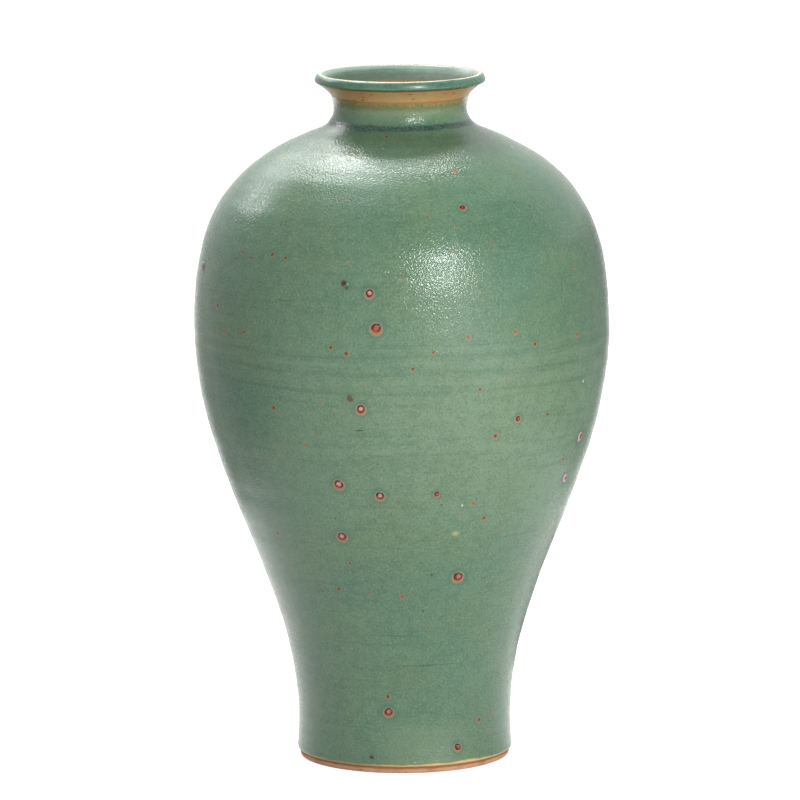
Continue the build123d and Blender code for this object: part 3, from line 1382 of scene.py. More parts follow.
@dataclass(frozen=True)
class LipGlaze:
    """The bluer glaze of the lip: cream on its crest, painted light just inside the rim and painted
    shade, rougher, down in the throat.

    Its fades are in mm from the rim, the top, the lip's lower edge or the glaze's inner edge.
    """

    main: Colour = paint(88, 124, 102)
    deep: Colour = paint(68, 102, 88)
    light: Colour = paint(126, 154, 128)
    crest: Colour = paint(234, 219, 192)
    thin: Colour = paint(150, 112, 74)
    # dark line on the underside of the lip: partly the glaze's dark edge, partly painted shadow
    # under the roll
    under: Colour = paint(70, 74, 52)
    # painted light: the pale band just inside the rim
    inner: Colour = paint(184, 200, 188)
    # painted shade down inside the throat
    throat: Colour = paint(64, 80, 62)
    wave: tuple[float, float] = (5.0, 0.3)
    inside: Fade = Fade(-1.4, -2.6)
    outside: Fade = Fade(-1.6, -0.8)
    dry_and_shaded_inside: Fade = Fade(-1.2, -3.6)
    painted_light_inside: Fade = Fade(-2.0, -0.6, 0.6)
    crest_top: Fade = Fade(-0.02, 0.07)
    crest_wear: tuple[float, float, float, float] = (-20.0, 24.0, 1.0, 0.45)
    dark_edge: Fade = Fade(0.6, 0.1)
    thin_end: Fade = Fade(2.2, 0.7)
    throat_shade_strength: float = 0.85
    dryness: float = 0.34
    roughness: Stray = Stray(2.2, 2.0, 0.24, 0.36)
    grain: Grain = Grain(0.9, 0.02)
    ior: float = 1.4

    def material(self, outline: Outline) -> bpy.types.Material:
        """Makes the finish.

        Args:
            outline: The pot's sizes.

        Returns:
            The material.
        """
        bench = Bench("lip_glaze")
        height = bench.wavy_height(*self.wave)
        rim, low = outline.lip
        top = low + outline.lip_band + outline.lip_roll_radius + outline.skin
        colour = mottled(
            bench,
            self.main,
            Mottle(self.deep, 6, 3.0, 0.35, 0.65, 0.6, (1, 1, 3)),
            Mottle(self.light, 1.0, 2.0, 0.52, 0.7, 0.25),
        )
        inside = self.inside.share(bench, bench.radius, rim)
        # painted shade down inside the throat, where the glaze is also rougher
        dry = bench.times(inside, self.dry_and_shaded_inside.share(bench, height, top))
        colour = bench.mix(bench.times(dry, self.throat_shade_strength), colour, self.throat)
        # painted light just inside the rim
        pale = bench.times(inside, self.painted_light_inside.share(bench, height, top))
        colour = bench.mix(pale, colour, self.inner)
        worn = bench.span(bench.back, *self.crest_wear)
        crest = bench.times(self.crest_top.share(bench, height, top), worn)
        colour = bench.mix(crest, colour, self.crest)
        # dark line on the underside of the lip: partly the glaze's dark edge, partly painted shadow
        # under the roll
        outside = self.outside.share(bench, bench.radius, rim)
        edge = bench.times(self.dark_edge.share(bench, height, low), outside)
        colour = bench.mix(edge, colour, self.under)
        thin = self.thin_end.share(bench, height, outline.drop_line)
        colour = bench.mix(thin, colour, self.thin)
        rough = bench.plus(self.roughness.value(bench), bench.times(dry, self.dryness))
        return bench.done(colour, rough, self.grain.bump(bench), self.ior)


@dataclass(frozen=True)
class LinerGlaze:
    """The glaze inside the pot, a little darker than outside and streaked around."""

    main: Colour = paint(92, 122, 98)
    deep: Colour = paint(64, 92, 76)
    light: Colour = paint(126, 150, 126)
    roughness: Stray = Stray(2.4, 2.0, 0.32, 0.44)
    grain: Grain = Grain(1.0, 0.03)
    ior: float = 1.5

    def material(self) -> bpy.types.Material:
        """Makes the finish.

        Returns:
            The material.
        """
        bench = Bench("liner_glaze")
        colour = mottled(
            bench,
            self.main,
            Mottle(self.deep, 18, 4.0, 0.4, 0.65, stretch=(1, 1, 5)),
            Mottle(self.light, 1.0, 2.0, 0.52, 0.7, 0.5),
        )
        rough = self.roughness.value(bench)
        return bench.done(colour, rough, self.grain.bump(bench), self.ior)


@dataclass(frozen=True)
class ToastedClay:
    """Bare stoneware, toasted by the fire, with iron specks."""

    main: Colour = paint(206, 158, 126)
    toast: Colour = paint(168, 106, 60)
    pale: Colour = paint(218, 180, 150)
    speck: Colour = paint(64, 38, 26)
    line: Colour = paint(92, 62, 34)
    straw: Colour = paint(184, 150, 98)
    flame: Colour = paint(194, 138, 90)
    foot_wave: tuple[float, float] = (9.0, 0.8)
    near_glaze: Fade = Fade(-1.2, -0.3, 0.8)
    burnt_edge: Band = Band(-0.35, 0.1, 0.3, 0.4)
    neck_wave: tuple[float, float] = (4.0, 0.5)
    # dark line just under the lip: partly a dark edge where glaze meets clay, partly painted shadow
    # under the lip's roll
    lip_line: Band = Band(-0.25, 0.4, 0.3, 0.75)
    dry: Stray = Stray(1.5, 2.0, 0.68, 0.84)
    fumed: Stray = Stray(1.5, 2.0, 0.34, 0.5)
    sand: Grain = Grain(0.5, 0.05, 3.0)
    lumps: Grain = Grain(2.5, 0.05)
    ior: float = 1.45

    def ground(self, bench: Bench) -> Feed:
        """The blotchy clay with its grit.

        Args:
            bench: The finish's nodes.

        Returns:
            The colour.
        """
        return mottled(
            bench,
            self.main,
            Mottle(self.toast, 9, 4.0, 0.42, 0.7, 0.55),
            Mottle(self.pale, 0.5, 2.0, 0.5, 0.7, 0.5),
            Mottle(self.speck, 1.7, 1.0, 0.7, 0.76, 0.8),
        )

    def finish(self, bench: Bench, colour: Feed, rough: Stray) -> bpy.types.Material:
        """Gives the clay its sandy surface.

        Args:
            bench: The finish's nodes.
            colour: The clay's colour.
            rough: How rough it is, less where glaze fumes have sealed it.

        Returns:
            The finish.
        """
        sand = self.sand.bump(bench, self.lumps.bump(bench))
        return bench.done(colour, rough.value(bench), sand, self.ior)

    def foot_material(self, outline: Outline) -> bpy.types.Material:
        """Makes the clay of the foot, browner next to the glaze.

        Args:
            outline: The pot's sizes.

        Returns:
            The material.
        """
        bench = Bench("foot_clay")
        edge = outline.foot_band
        height = bench.wavy_height(*self.foot_wave)
        near = self.near_glaze.share(bench, height, edge)
        colour = bench.mix(near, self.ground(bench), self.toast)
        burnt = self.burnt_edge.share(bench, height, edge)
        return self.finish(bench, bench.mix(burnt, colour, self.line), self.dry)

    def neck_material(self, outline: Outline) -> bpy.types.Material:
        """Makes the clay of the neck, straw coloured with a dark line under the lip that is partly
        painted shadow of the lip's roll.

        Args:
            outline: The pot's sizes.

        Returns:
            The material.
        """
        bench = Bench("neck_clay")
        colour = mottled(
            bench,
            self.straw,
            Mottle(self.flame, 14, 3.0, 0.42, 0.66, 0.7),
            Mottle(self.pale, 0.8, 2.0, 0.5, 0.7, 0.3),
        )
        height = bench.wavy_height(*self.neck_wave)
        # dark line under the lip, partly painted shadow of its roll
        line = self.lip_line.share(bench, height, outline.lip[1])
        colour = bench.mix(line, colour, self.line)
        return self.finish(bench, IronSpots().over(bench, colour), self.fumed)

    def plain_material(self, name: str) -> bpy.types.Material:
        """Makes the clay of the pieces inside the wall."""
        bench = Bench(name)
        return self.finish(bench, self.ground(bench), self.dry)


@dataclass(frozen=True)
class IronBead:
    """Melted iron: dark at the rim, paler on the crown and orange on the low side.

    The pale crown is partly the iron's own pale crystals and partly a painted highlight. A very
    pale bead gets a painted sheen all over, a painted reflection of the white room, with a streak
    on its crown, and a dull one is brown with a rim as green as the glaze. Its fades are in shares
    of the bead's radius.
    """

    rim: Colour = paint(46, 15, 13)
    red: Colour = paint(108, 34, 26)
    # pale crown colour: partly pale iron, partly a painted highlight
    pale: Colour = paint(196, 146, 152)
    orange: Colour = paint(176, 74, 32)
    dull: Colour = paint(46, 34, 26)
    edge: Colour = paint(96, 114, 90)
    brown: Colour = paint(72, 54, 43)
    # painted sheen: a painted reflection of the white room on beads near the sides
    painted_sheen: Colour = paint(184, 150, 154)
    streak: Colour = paint(122, 62, 70)
    ragged: Stray = Stray(0.6, 2.0, -0.12, 0.12)
    sheen_fade: Fade = Fade(SHEEN_FROM, SHEEN_FULL)
    # the pale crown sits a little up and to the right: partly pale crystals, partly a painted
    # highlight
    crown_highlight_shift: Place = (-0.06, -0.12, 0.0)
    crown_highlight_fade: Fade = Fade(0.7, 0.32)
    orange_shift: Place = (0.25, 0.55, 0.0)
    orange_fade: Fade = Fade(0.8, 0.2)
    rim_fade: Fade = Fade(0.55, 0.95)
    edge_fade: Fade = Fade(0.35, 1.0)
    roughness: float = 0.26
    grain: Grain = Grain(0.5, 0.03)
    ior: float = 1.42

    def material(self) -> bpy.types.Material:
        """Makes the finish.

        Returns:
            The material.
        """
        bench = Bench("iron_bead")
        place = bench.attribute("bead_place").outputs[1]
        tint = bench.lay("ShaderNodeSeparateColor", {0: bench.attribute("bead_tint").outputs[0]})
        pale, orange, bright = tint.outputs
        ragged = self.ragged.value(bench)
        reach = bench.plus(bench.length(place), ragged)
        middle = bench.plus(bench.length(place, self.crown_highlight_shift), ragged)
        # pale crown: partly the iron's pale crystals, partly a painted highlight
        crown = bench.times(self.crown_highlight_fade.share(bench, middle), pale)
        # painted sheen all over the palest beads, a painted reflection of the white room
        bead_sheen = self.sheen_fade.share(bench, pale)
        colour = bench.mix(bead_sheen, self.red, self.painted_sheen)
        colour = bench.mix(crown, colour, bench.mix(bead_sheen, self.pale, self.streak))
        low = self.orange_fade.share(bench, bench.length(place, self.orange_shift))
        colour = bench.mix(bench.times(low, orange), colour, self.orange)
        rim = bench.mix(bead_sheen, self.rim, self.painted_sheen)
        colour = bench.mix(self.rim_fade.share(bench, reach), colour, rim)
        dull = bench.mix(pale, self.dull, self.brown)
        dull = bench.mix(self.edge_fade.share(bench, reach), dull, self.edge)
        colour = bench.mix(bright, dull, colour)
        return bench.done(colour, self.roughness, self.grain.bump(bench), self.ior)


@dataclass
class Piece:
    """What all dressed pieces share: sizes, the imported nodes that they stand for, and a slot."""

    outline: Outline
    wheel: Wheel = field(default_factory=Wheel)
    name: str = ""
    node: str = ""
    slot: str = ""

    def mesh(self) -> bpy.types.Object:
        """Builds the piece's mesh."""
        raise NotImplementedError

    def finish(self) -> bpy.types.Material:
        """Makes the piece's finish."""
        raise NotImplementedError

    def build(self) -> bpy.types.Object:
        """Builds, dresses and seats the piece.

        Returns:
            The piece, riding on the vase's body.
        """
        made = self.mesh()
        made.data.materials.append(self.finish())
        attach(made, BODY)
        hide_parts(self.node)
        made.data.calc_loop_triangles()
        log.info("%s: %d triangles, for %s", made.name, len(made.data.loop_triangles), self.node)
        return made


@dataclass
class BodyCoat(Piece):
    """The green coat from the foot to the bare band under the lip."""

    name: str = "body_coat"
    node: str = "body_glaze"
    slot: str = "green_glaze"
    rings: int = 290
    bed_rings: int = 44
    edge_rings: int = 14
    edge_run: float = 2.5
    foot_roll: float = 0.8
    foot_bulge: float = 0.14
    thin_run: float = 5.0
    thin_share: float = 0.08
    top_roll: float = 0.5
    marks: ThrowingMarks = field(default_factory=ThrowingMarks)
    marks_fade: tuple[float, float] = (0.5, 6.0)

    def thickness(self, lengths: np.ndarray, whole: float) -> np.ndarray:
        """How thick the coat is along the wall.

        Args:
            lengths: Lengths along the wall.
            whole: The wall's whole length.

        Returns:
            Thickness in mm, rolled at the foot and thin at the top.
        """
        left = whole - lengths
        roll, end = rounded(lengths, self.foot_roll), rounded(left, self.top_roll)
        bulge = self.foot_bulge * np.exp(-(((lengths - 2 * self.foot_roll) / self.foot_roll) ** 2))
        thin = self.thin_share + (1 - self.thin_share) * smooth_step(left, 0, self.thin_run)
        return self.outline.glaze * roll * thin * end + bulge

    def mesh(self) -> bpy.types.Object:
        """Builds the coat with its throwing marks and the places of its spots.

        Returns:
            The piece, still without its finish.
        """
        path = self.outline.outside().below(self.outline.glaze_line)
        whole, near = path.gone[-1], self.edge_run
        lengths = np.concatenate([
            np.linspace(0, near, self.edge_rings, endpoint=False),
            np.linspace(near, whole - near, self.rings, endpoint=False),
            np.linspace(whole - near, whole, self.edge_rings),
        ])
        fade = smooth_step(lengths, *self.marks_fade)
        fade = fade * smooth_step(whole - lengths, *self.marks_fade)
        lift = self.marks.lift(path, lengths, self.wheel.bearings) * fade[:, None]
        off = (self.outline.bond + self.thickness(lengths, whole))[:, None] + lift
        skin = path.at(lengths)[:, None, :] + path.facing(lengths)[:, None, :] * off[..., None]
        bed = path.beside(np.linspace(whole, 0, self.bed_rings), self.outline.bond)
        rings = np.concatenate([skin, self.wheel.even(bed)])
        piece = self.wheel.turn(self.name, rings, on_axis=False)
        SpotMap(path, lengths, self.wheel.segments).lay(piece, all_spots())
        return piece

    def finish(self) -> bpy.types.Material:
        """Makes the body's green glaze."""
        return GreenGlaze().material(self.outline)


@dataclass
class LipCoat(Piece):
    """The bluer coat over the lip."""

    name: str = "lip_coat"
    node: str = "lip_glaze"
    slot: str = "lip_glaze"
    rings: int = 90
    crowding: float = 1.25
    bed_rings: int = 40
    roll: float = 0.6
    fade: float = 2.2
    bulge: float = 0.28
    bulge_place: float = 1.1
    bulge_width: float = 0.8

    def mesh(self) -> bpy.types.Object:
        """Builds the coat, rolled at its outer edge and fading inside the mouth.

        Returns:
            The piece, still without its finish.
        """
        mouth = self.outline.mouth()
        last = np.flatnonzero(mouth.points[:, 1] > self.outline.drop_line)[-1]
        path = Path(mouth.points[: last + 1])
        whole = path.gone[-1]
        lengths = whole * np.linspace(0, 1, self.rings) ** self.crowding
        start, end = rounded(lengths, self.roll), rounded(whole - lengths, self.fade)
        bulge = self.bulge * np.exp(-(((lengths - self.bulge_place) / self.bulge_width) ** 2))
        off = self.outline.bond + (self.outline.glaze + bulge) * start * end
        bed = path.beside(np.linspace(whole, 0, self.bed_rings), self.outline.bond)
        rings = self.wheel.even(np.vstack([path.beside(lengths, off), bed]))
        return self.wheel.turn(self.name, rings, on_axis=False)

    def finish(self) -> bpy.types.Material:
        """Makes the lip's glaze."""
        return LipGlaze().material(self.outline)


@dataclass
class LinerCoat(Piece):
    """The coat inside, from the throat down over the floor."""

    name: str = "liner_coat"
    node: str = "liner_glaze"
    slot: str = "liner_glaze"
    rings: int = 150
    bed_rings: int = 60
    fade: float = 2.0

    def mesh(self) -> bpy.types.Object:
        """Builds the coat as a cup with its own thickness.

        Returns:
            The piece, still without its finish.
        """
        path = self.outline.inside()
        whole = path.gone[-1]
        bed = path.beside(np.linspace(0, whole, self.bed_rings), -self.outline.bond)
        lengths = np.linspace(whole, 0, self.rings)
        off = self.outline.bond + self.outline.glaze * rounded(whole - lengths, self.fade)
        section = np.vstack([bed, path.beside(lengths, -off)])
        section[[0, -1], 0] = 0.0
        return self.wheel.turn(self.name, self.wheel.even(section), on_axis=True)

    def finish(self) -> bpy.types.Material:
        """Makes the inside glaze."""
        return LinerGlaze().material()


@dataclass
class LowerClay(Piece):
    """The thrown lower section: foot, floor and lower wall."""

    name: str = "lower_clay"
    node: str = "lower_section"
    slot: str = "stoneware"
    ease: float = 0.7
    trim_depth: float = 0.1
    trim_pitch: float = 2.3
    trim_fade: tuple[float, float] = (1.0, 5.0)
    corner_clear: float = 1.0
    recess_rings: int = 60
    foot_points: int = 14
    wall_points: int = 60
    inside_rings: int = 80

    def foot_run(self) -> np.ndarray:
        """The trimmed underside and the foot ring, from the axis out to the glaze.

        Returns:
            Points as rows of radius and height.
        """
        shape = self.outline
        edge = shape.foot[0] - shape.foot_bevel
        inner = edge - shape.foot_ring
        corner = inner - shape.recess_draft
        radii = np.linspace(0, corner - self.corner_clear, self.recess_rings)
        trim = self.trim_depth * np.sin(2 * math.pi * radii / self.trim_pitch)
        trim *= smooth_step(radii, *self.trim_fade)
        recess = np.stack([radii, shape.recess_depth + trim], axis=1)
        foot = eased(
            [recess[-1], (corner, shape.recess_depth), (inner, 0), (edge, 0), shape.foot], self.ease
        )
        return np.vstack([recess[:-1], foot])

    def mesh(self) -> bpy.types.Object:
        """Builds the section up to its joint at the belly.

        Returns:
            The piece, still without its finish.
        """
        shape = self.outline
        top = shape.belly[1] - shape.slip / 2
        foot, wall = shape.walls()[:2]
        outside = np.vstack([foot.points(self.foot_points), wall.points(self.wall_points)[1:]])
        outside = outside[outside[:, 1] < top]
        joint = np.array([
            (shape.belly[0], top),
            (shape.belly[0] - shape.wall / 2, top - shape.joint_depth),
            (shape.belly[0] - shape.wall, top),
        ])
        inside = shape.inside()
        lengths = np.linspace(inside.length_at(top), 0, self.inside_rings)
        section = np.vstack([self.foot_run()[:-1], outside, joint, inside.at(lengths)[1:]])
        return self.wheel.turn(self.name, self.wheel.even(section), on_axis=True)

    def finish(self) -> bpy.types.Material:
        """Makes the foot's clay."""
        return ToastedClay().foot_material(self.outline)


@dataclass
class NeckClay(Piece):
    """The thrown neck and lip."""

    name: str = "neck_clay"
    node: str = "neck_section"
    slot: str = "stoneware"
    root_points: int = 60
    flare_points: int = 80
    out_rings: int = 110
    mouth_rings: int = 120
    back_rings: int = 30

    def mesh(self) -> bpy.types.Object:
        """Builds the section from its joint at the neck's root to the lip and back inside.

        Returns:
            The piece, still without its finish.
        """
        shape = self.outline
        root, flare = shape.walls()[3:]
        out = Path.along(root.points(self.root_points), flare.points(self.flare_points))
        lengths = np.linspace(shape.slip / 2, out.gone[-1], self.out_rings)
        mouth = shape.mouth()
        over = mouth.at(np.linspace(0, mouth.gone[-1], self.mouth_rings))
        down = Path(shape.inner_walls()[2].points(self.root_points)[::-1])
        back = down.at(np.linspace(0, down.gone[-1] - shape.slip / 2, self.back_rings))
        section = np.vstack([out.at(lengths), over[1:], back[1:]])
        piece = self.wheel.turn(self.name, self.wheel.even(section), on_axis=False)
        SpotMap(out, lengths, self.wheel.segments).lay(piece, NECK_SPOTS)
        return piece

    def finish(self) -> bpy.types.Material:
        """Makes the neck's clay."""
        return ToastedClay().neck_material(self.outline)


@dataclass
class IronBeads(Piece):
    """The raised beads of melted iron, each set through the glaze."""

    name: str = "iron_beads"
    node: str = "iron_nodules"
    slot: str = "iron_bead"
    segments: int = 28
    rings: int = 9
    crown: float = 0.42
    crown_power: float = 2.4
    dimple: float = 0.1
    dimple_width: float = 0.4
    lobes: tuple[tuple[int, float], ...] = ((2, 0.06), (3, 0.035))
    dull_share: float = 0.12
    seed: int = 5

    def bead(self, bead: Bead, chance: np.random.Generator) -> tuple[np.ndarray, np.ndarray]:
        """Shapes one bead.

        Args:
            bead: Its place and size.
            chance: Where its unevenness comes from.

        Returns:
            Places in mm by ring and segment, and the same places in shares of the radius.
        """
        path = self.outline.outside()
        length = np.array([path.length_at(bead.height)])
        facing = path.facing(length)[0]
        spot = path.at(length)[0] + facing * self.outline.skin
        outward, side = compass(bead.bearing)
        normal = outward * facing[0] + SKY * facing[1]
        rise = outward * -facing[1] + SKY * facing[0]
        middle = outward * spot[0] + SKY * spot[1]
        angles = np.linspace(0, 2 * math.pi, self.segments, endpoint=False)
        starts = chance.uniform(0, 2 * math.pi, len(self.lobes))
        uneven = np.ones(self.segments)
        for (lobes, size), start in zip(self.lobes, starts):
            uneven += size * np.sin(lobes * angles + start)
        shares = np.append(np.linspace(0, 1, self.rings), 1.0)
        lifts = self.crown * np.sqrt(np.clip(1 - shares**self.crown_power, 0, 1))
        lifts -= self.dimple * np.exp(-((shares / self.dimple_width) ** 2))
        lifts[-1] = -self.outline.glaze
        reach = shares[:, None] * uneven[None, :] * bead.radius
        u, v = reach * np.cos(angles), reach * np.sin(angles)
        places = middle + u[..., None] * side + (v * bead.squat)[..., None] * rise
        places = places + lifts[:, None, None] * normal
        return places, np.stack([u, v, np.zeros_like(u)], axis=-1) / bead.radius

    def mesh(self) -> bpy.types.Object:
        """Builds all the beads as closed domes in one mesh.

        Returns:
            The piece, still without its finish.
        """
        chance = np.random.default_rng(self.seed)
        places, local, tints = [], [], []
        faces: list[tuple[int, ...]] = []
        count = self.segments
        around = list(range(count))
        beyond = around[1:] + around[:1]
        for bead in BEADS:
            start = len(places)
            rings, shares = self.bead(bead, chance)
            places += [rings[0, 0], *rings[1:].reshape(-1, 3)]
            local += [shares[0, 0], *shares[1:].reshape(-1, 3)]
            low = start + 1
            faces += [(start, low + a, low + b) for a, b in zip(around, beyond)]
            for _ in range(len(rings) - 2):
                high = low + count
                faces += [(low + a, high + a, high + b, low + b) for a, b in zip(around, beyond)]
                low = high
            faces.append(tuple(low + a for a in reversed(around)))
            tint = (bead.pale, bead.orange, 1.0 if bead.halo else self.dull_share, 1.0)
            tints += [tint] * (len(places) - start)
        piece = mesh_piece(self.name, np.array(places) * MM, faces)
        store(piece, "bead_place", "FLOAT_VECTOR", "POINT", np.array(local))
        store(piece, "bead_tint", "FLOAT_COLOR", "POINT", np.array(tints))
        return piece

    def finish(self) -> bpy.types.Material:
        """Makes the melted iron."""
        return IronBead().material()


@dataclass(frozen=True)
class Softbox:
    """A soft studio lamp, by where it hangs round its target, its size in m and its brightness."""

    name: str
    bearing: float
    rise: float
    distance: float
    width: float
    height: float
    radiance: float
    target: Place = (0.0, 0.0, 0.157)
    spread: float = 180.0

    def hang(self) -> None:
        """Hangs the lamp, facing its target and out of the camera's sight."""
        lamp = bpy.data.lights.new(self.name, "AREA")
        lamp.spread = math.radians(self.spread)
        lamp.shape = "RECTANGLE"
        lamp.size, lamp.size_y = self.width, self.height
        lamp.energy = self.radiance * math.pi * self.width * self.height
        made = bpy.data.objects.new(self.name, lamp)
        rise = math.radians(self.rise)
        away = Vector(compass(self.bearing)[0] * math.cos(rise) + SKY * math.sin(rise))
        made.location = Vector(self.target) + away * self.distance
        made.rotation_mode = "QUATERNION"
        made.rotation_quaternion = (-away).to_track_quat("-Z", "Y")
        made.visible_camera = False
        bpy.context.scene.collection.objects.link(made)


@dataclass(frozen=True)
class Flag:
    """A grey board near the vase, by where it stands and its size in m, and its two shades.

    Only reflections and bounced light meet it: it keeps the white room and the key lamp from
    burning out the glaze.
    """

    name: str
    bearing: float
    distance: float
    width: float
    bottom: float
    top: float
    low_shade: float
    high_shade: float
    sag: float = 0.01
    weave: Stray = Stray(6.0, 2.0, 0.8, 0.95)
    rows: int = 5
    columns: int = 9

    def stand(self) -> None:
        """Stands the board up, facing the vase."""
        out, side = compass(self.bearing)
        places = []
        for height in np.linspace(self.bottom, self.top, self.rows):
            for across in np.linspace(-0.5, 0.5, self.columns):
                bow = self.sag * (1 - 4 * across * across)
                place = out * (self.distance + bow) + side * across * self.width
                places.append(place + SKY * height)
        corners = np.array((0, 1, self.columns + 1, self.columns))
        faces = [
            (corners + row * self.columns + column).tolist()
            for row in range(self.rows - 1)
            for column in range(self.columns - 1)
        ]
        board = mesh_piece(self.name, np.array(places), faces)
        bench = Bench(self.name)
        low, high = [(shade, shade, shade, 1.0) for shade in (self.low_shade, self.high_shade)]
        shade = bench.mix(bench.span(bench.height, self.bottom / MM, self.top / MM), low, high)
        board.data.materials.append(bench.done(shade, self.weave.value(bench)))
        board.visible_camera = False
        board.visible_shadow = False


@dataclass(frozen=True)
class Studio:
    """A white room with soft lamps, grey boards, a pale floor and the camera of the front view."""

    flags: tuple[Flag, ...] = (
        Flag("left_flag", -108.0, 0.27, 0.47, 0.0, 0.25, 0.55, 0.95),
        Flag("right_flag", 112.4, 0.3, 0.5, 0.0, 0.27, 0.45, 0.5),
        Flag("low_right_flag", 158.0, 0.17, 0.14, 0.0, 0.06, 0.4, 0.6),
        Flag("shoulder_flag", 58.7, 0.158, 0.17, 0.275, 0.6, 0.12, 0.12),
        Flag("neck_flag", 0.0, 0.146, 0.094, 0.268, 0.6, 0.12, 0.12),
    )
    softboxes: tuple[Softbox, ...] = (
        Softbox("key_softbox", 24.0, 23.0, 1.8, 0.32, 0.36, 62.0),
        Softbox("fill_softbox", 24.0, 14.0, 1.8, 0.9, 0.9, 2.0),
        Softbox("low_softbox", 40.0, 1.0, 1.8, 0.9, 0.35, 3.0),
        Softbox("back_softbox", -152.0, 57.0, 1.8, 0.5, 0.3, 31.0),
        Softbox("far_softbox", 177.0, 62.0, 1.8, 0.6, 0.34, 22.0),
        Softbox("top_softbox", -118.0, 75.0, 1.8, 0.8, 0.5, 6.2),
        Softbox("table_softbox", 40.0, 89.0, 0.6, 0.5, 0.5, 1.5, (0.42, -0.5, 0.0), 90.0),
        Softbox("sheen_softbox", -148.0, 36.0, 1.8, 0.9, 0.55, 4.0),
        Softbox("rim_softbox", -126.0, 30.5, 1.8, 0.11, 0.15, 62.0),
    )
    aim_height: float = 0.1566
    camera_away: float = 2.9884
    camera_height: float = 0.6351
    camera_side: float = -0.001
    lens: float = 312.18
    sensor: float = 36.0
    farthest: float = 100.0
    roll: float = -0.4165
    floor_half: float = 14.0
    floor_colour: Colour = (0.55, 0.55, 0.55, 1.0)
    near_glow: float = 0.7
    far_glow: float = 1.0
    near_reach: float = 0.12
    far_reach: float = 0.75
    room_fill: float = 0.05

    def seen(self, tree: bpy.types.NodeTree) -> Socket:
        """1 where a ray from the camera, a reflection or clear glass sees the surface.

        Args:
            tree: The surface's nodes.

        Returns:
            The socket that says so.
        """
        rays = tree.nodes.new("ShaderNodeLightPath").outputs
        total = rays["Is Camera Ray"]
        for other in ("Is Glossy Ray", "Is Transmission Ray"):
            node = tree.nodes.new("ShaderNodeMath")
            node.operation = "MAXIMUM"
            wire(tree, (total, node.inputs[0]), (rays[other], node.inputs[1]))
            total = node.outputs[0]
        return total

    def lay_floor(self) -> None:
        """Lays the pale floor, white to the eye but for the vase's shadow."""
        half = self.floor_half
        places = np.array([(-half, -half, 0), (half, -half, 0), (half, half, 0), (-half, half, 0)])
        floor = mesh_piece("floor", places, [(0, 1, 2, 3)])
        material = bpy.data.materials.new("pale_floor")
        tree = fresh_tree(material)
        matt = tree.nodes.new("ShaderNodeBsdfDiffuse")
        matt.inputs["Color"].default_value = self.floor_colour
        glow = tree.nodes.new("ShaderNodeEmission")
        place = tree.nodes.new("ShaderNodeTexCoord")
        away = tree.nodes.new("ShaderNodeVectorMath")
        away.operation = "LENGTH"
        level = tree.nodes.new("ShaderNodeMapRange")
        level.interpolation_type = "SMOOTHSTEP"
        reaches = self.near_reach, self.far_reach, self.near_glow, self.far_glow
        for socket, value in zip(level.inputs[1:5], reaches):
            socket.default_value = value
        both = tree.nodes.new("ShaderNodeAddShader")
        choose = tree.nodes.new("ShaderNodeMixShader")
        output = tree.nodes.new("ShaderNodeOutputMaterial")
        wire(
            tree,
            (place.outputs["Object"], away.inputs[0]),
            (away.outputs["Value"], level.inputs[0]),
            (level.outputs[0], glow.inputs["Strength"]),
            (matt.outputs[0], both.inputs[0]),
            (glow.outputs[0], both.inputs[1]),
            (self.seen(tree), choose.inputs[0]),
            (matt.outputs[0], choose.inputs[1]),
            (both.outputs[0], choose.inputs[2]),
            (choose.outputs[0], output.inputs[0]),
        )
        floor.data.materials.append(material)

    def light_room(self) -> None:
        """Fills the room with soft white, full white where it is seen, and hangs the lamps."""
        world = bpy.data.worlds.new("white_room")
        bpy.context.scene.world = world
        tree = fresh_tree(world)
        choose = tree.nodes.new("ShaderNodeMixShader")
        output = tree.nodes.new("ShaderNodeOutputWorld")
        for strength, target in zip((self.room_fill, 1.0), choose.inputs[1:]):
            white = tree.nodes.new("ShaderNodeBackground")
            white.inputs["Color"].default_value = (1, 1, 1, 1)
            white.inputs["Strength"].default_value = strength
            wire(tree, (white.outputs[0], target))
        wire(tree, (self.seen(tree), choose.inputs[0]), (choose.outputs[0], output.inputs[0]))
        for softbox in self.softboxes:
            softbox.hang()

    def set_camera(self) -> None:
        """Sets up the camera at the front view's angle."""
        lens = bpy.data.cameras.new("front_camera")
        lens.lens = self.lens
        lens.sensor_width = self.sensor
        lens.clip_end = self.farthest
        camera = bpy.data.objects.new("front_camera", lens)
        bpy.context.scene.collection.objects.link(camera)
        camera.location = (self.camera_side, -self.camera_away, self.camera_height)
        target = Vector((self.camera_side, 0.0, self.aim_height))
        look = (target - camera.location).to_track_quat("-Z", "Y")
        camera.rotation_mode = "QUATERNION"
        camera.rotation_quaternion = look @ Quaternion((0, 0, 1), math.radians(self.roll))
        bpy.context.scene.camera = camera

    def set_up(self) -> None:
        """Sets up the camera, the floor, the light and the boards."""
        self.set_camera()
        self.lay_floor()
        self.light_room()
        for flag in self.flags:
            flag.stand()
        bpy.context.scene.view_settings.view_transform = "Standard"
        lamps, boards = len(self.softboxes), len(self.flags)
        log.info("studio: camera, floor, %d softboxes and %d boards", lamps, boards)


def dress_node(node: str, finish: bpy.types.Material) -> None:
    """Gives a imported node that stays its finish.

    Args:
        node: Name of the node.
        finish: Its finish.
    """
    part = frame["nodes"][node]
    part.data.materials.clear()
    part.data.materials.append(finish)
    log.info("%s: packed solid kept, finished as %s", node, finish.name)


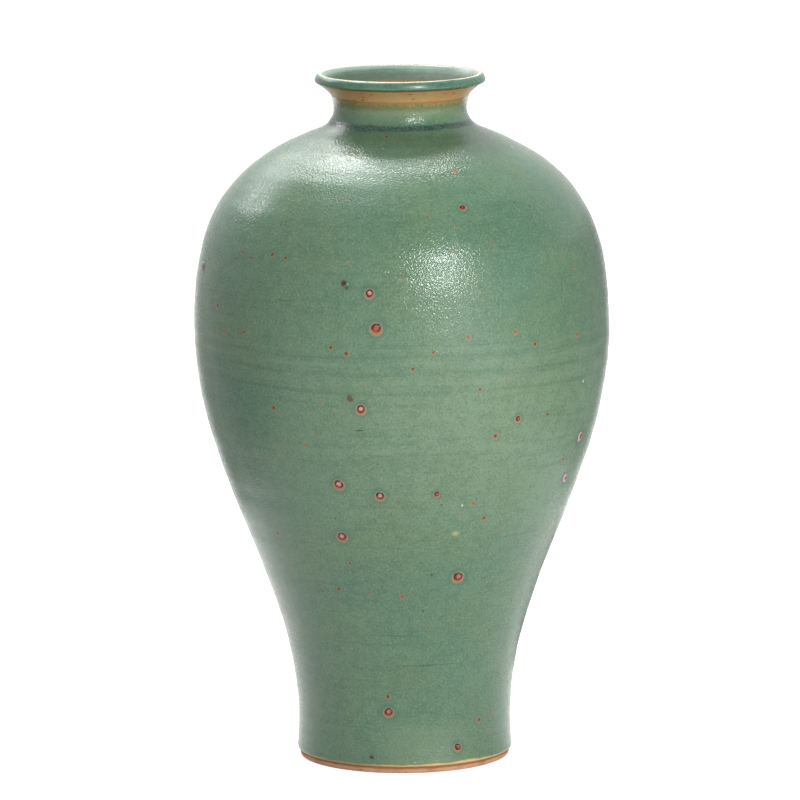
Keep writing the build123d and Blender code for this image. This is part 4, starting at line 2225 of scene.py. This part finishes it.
def write_sizes() -> None:
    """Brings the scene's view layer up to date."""
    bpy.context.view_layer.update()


def main() -> None:
    """Builds and dresses the vase, then sets up its studio."""
    logging.basicConfig(level=logging.INFO, format="%(name)s: %(message)s")
    outline = Outline()
    for kind in (LowerClay, NeckClay, BodyCoat, LipCoat, LinerCoat, IronBeads):
        kind(outline).build()
    clay = ToastedClay()
    dress_node("upper_section", clay.plain_material("wall_clay"))
    slip = clay.plain_material("joint_slip")
    dress_node("belly_lute", slip)
    dress_node("neck_lute", slip)
    Studio().set_up()
    write_sizes()


if __name__ == "__main__":
    main()
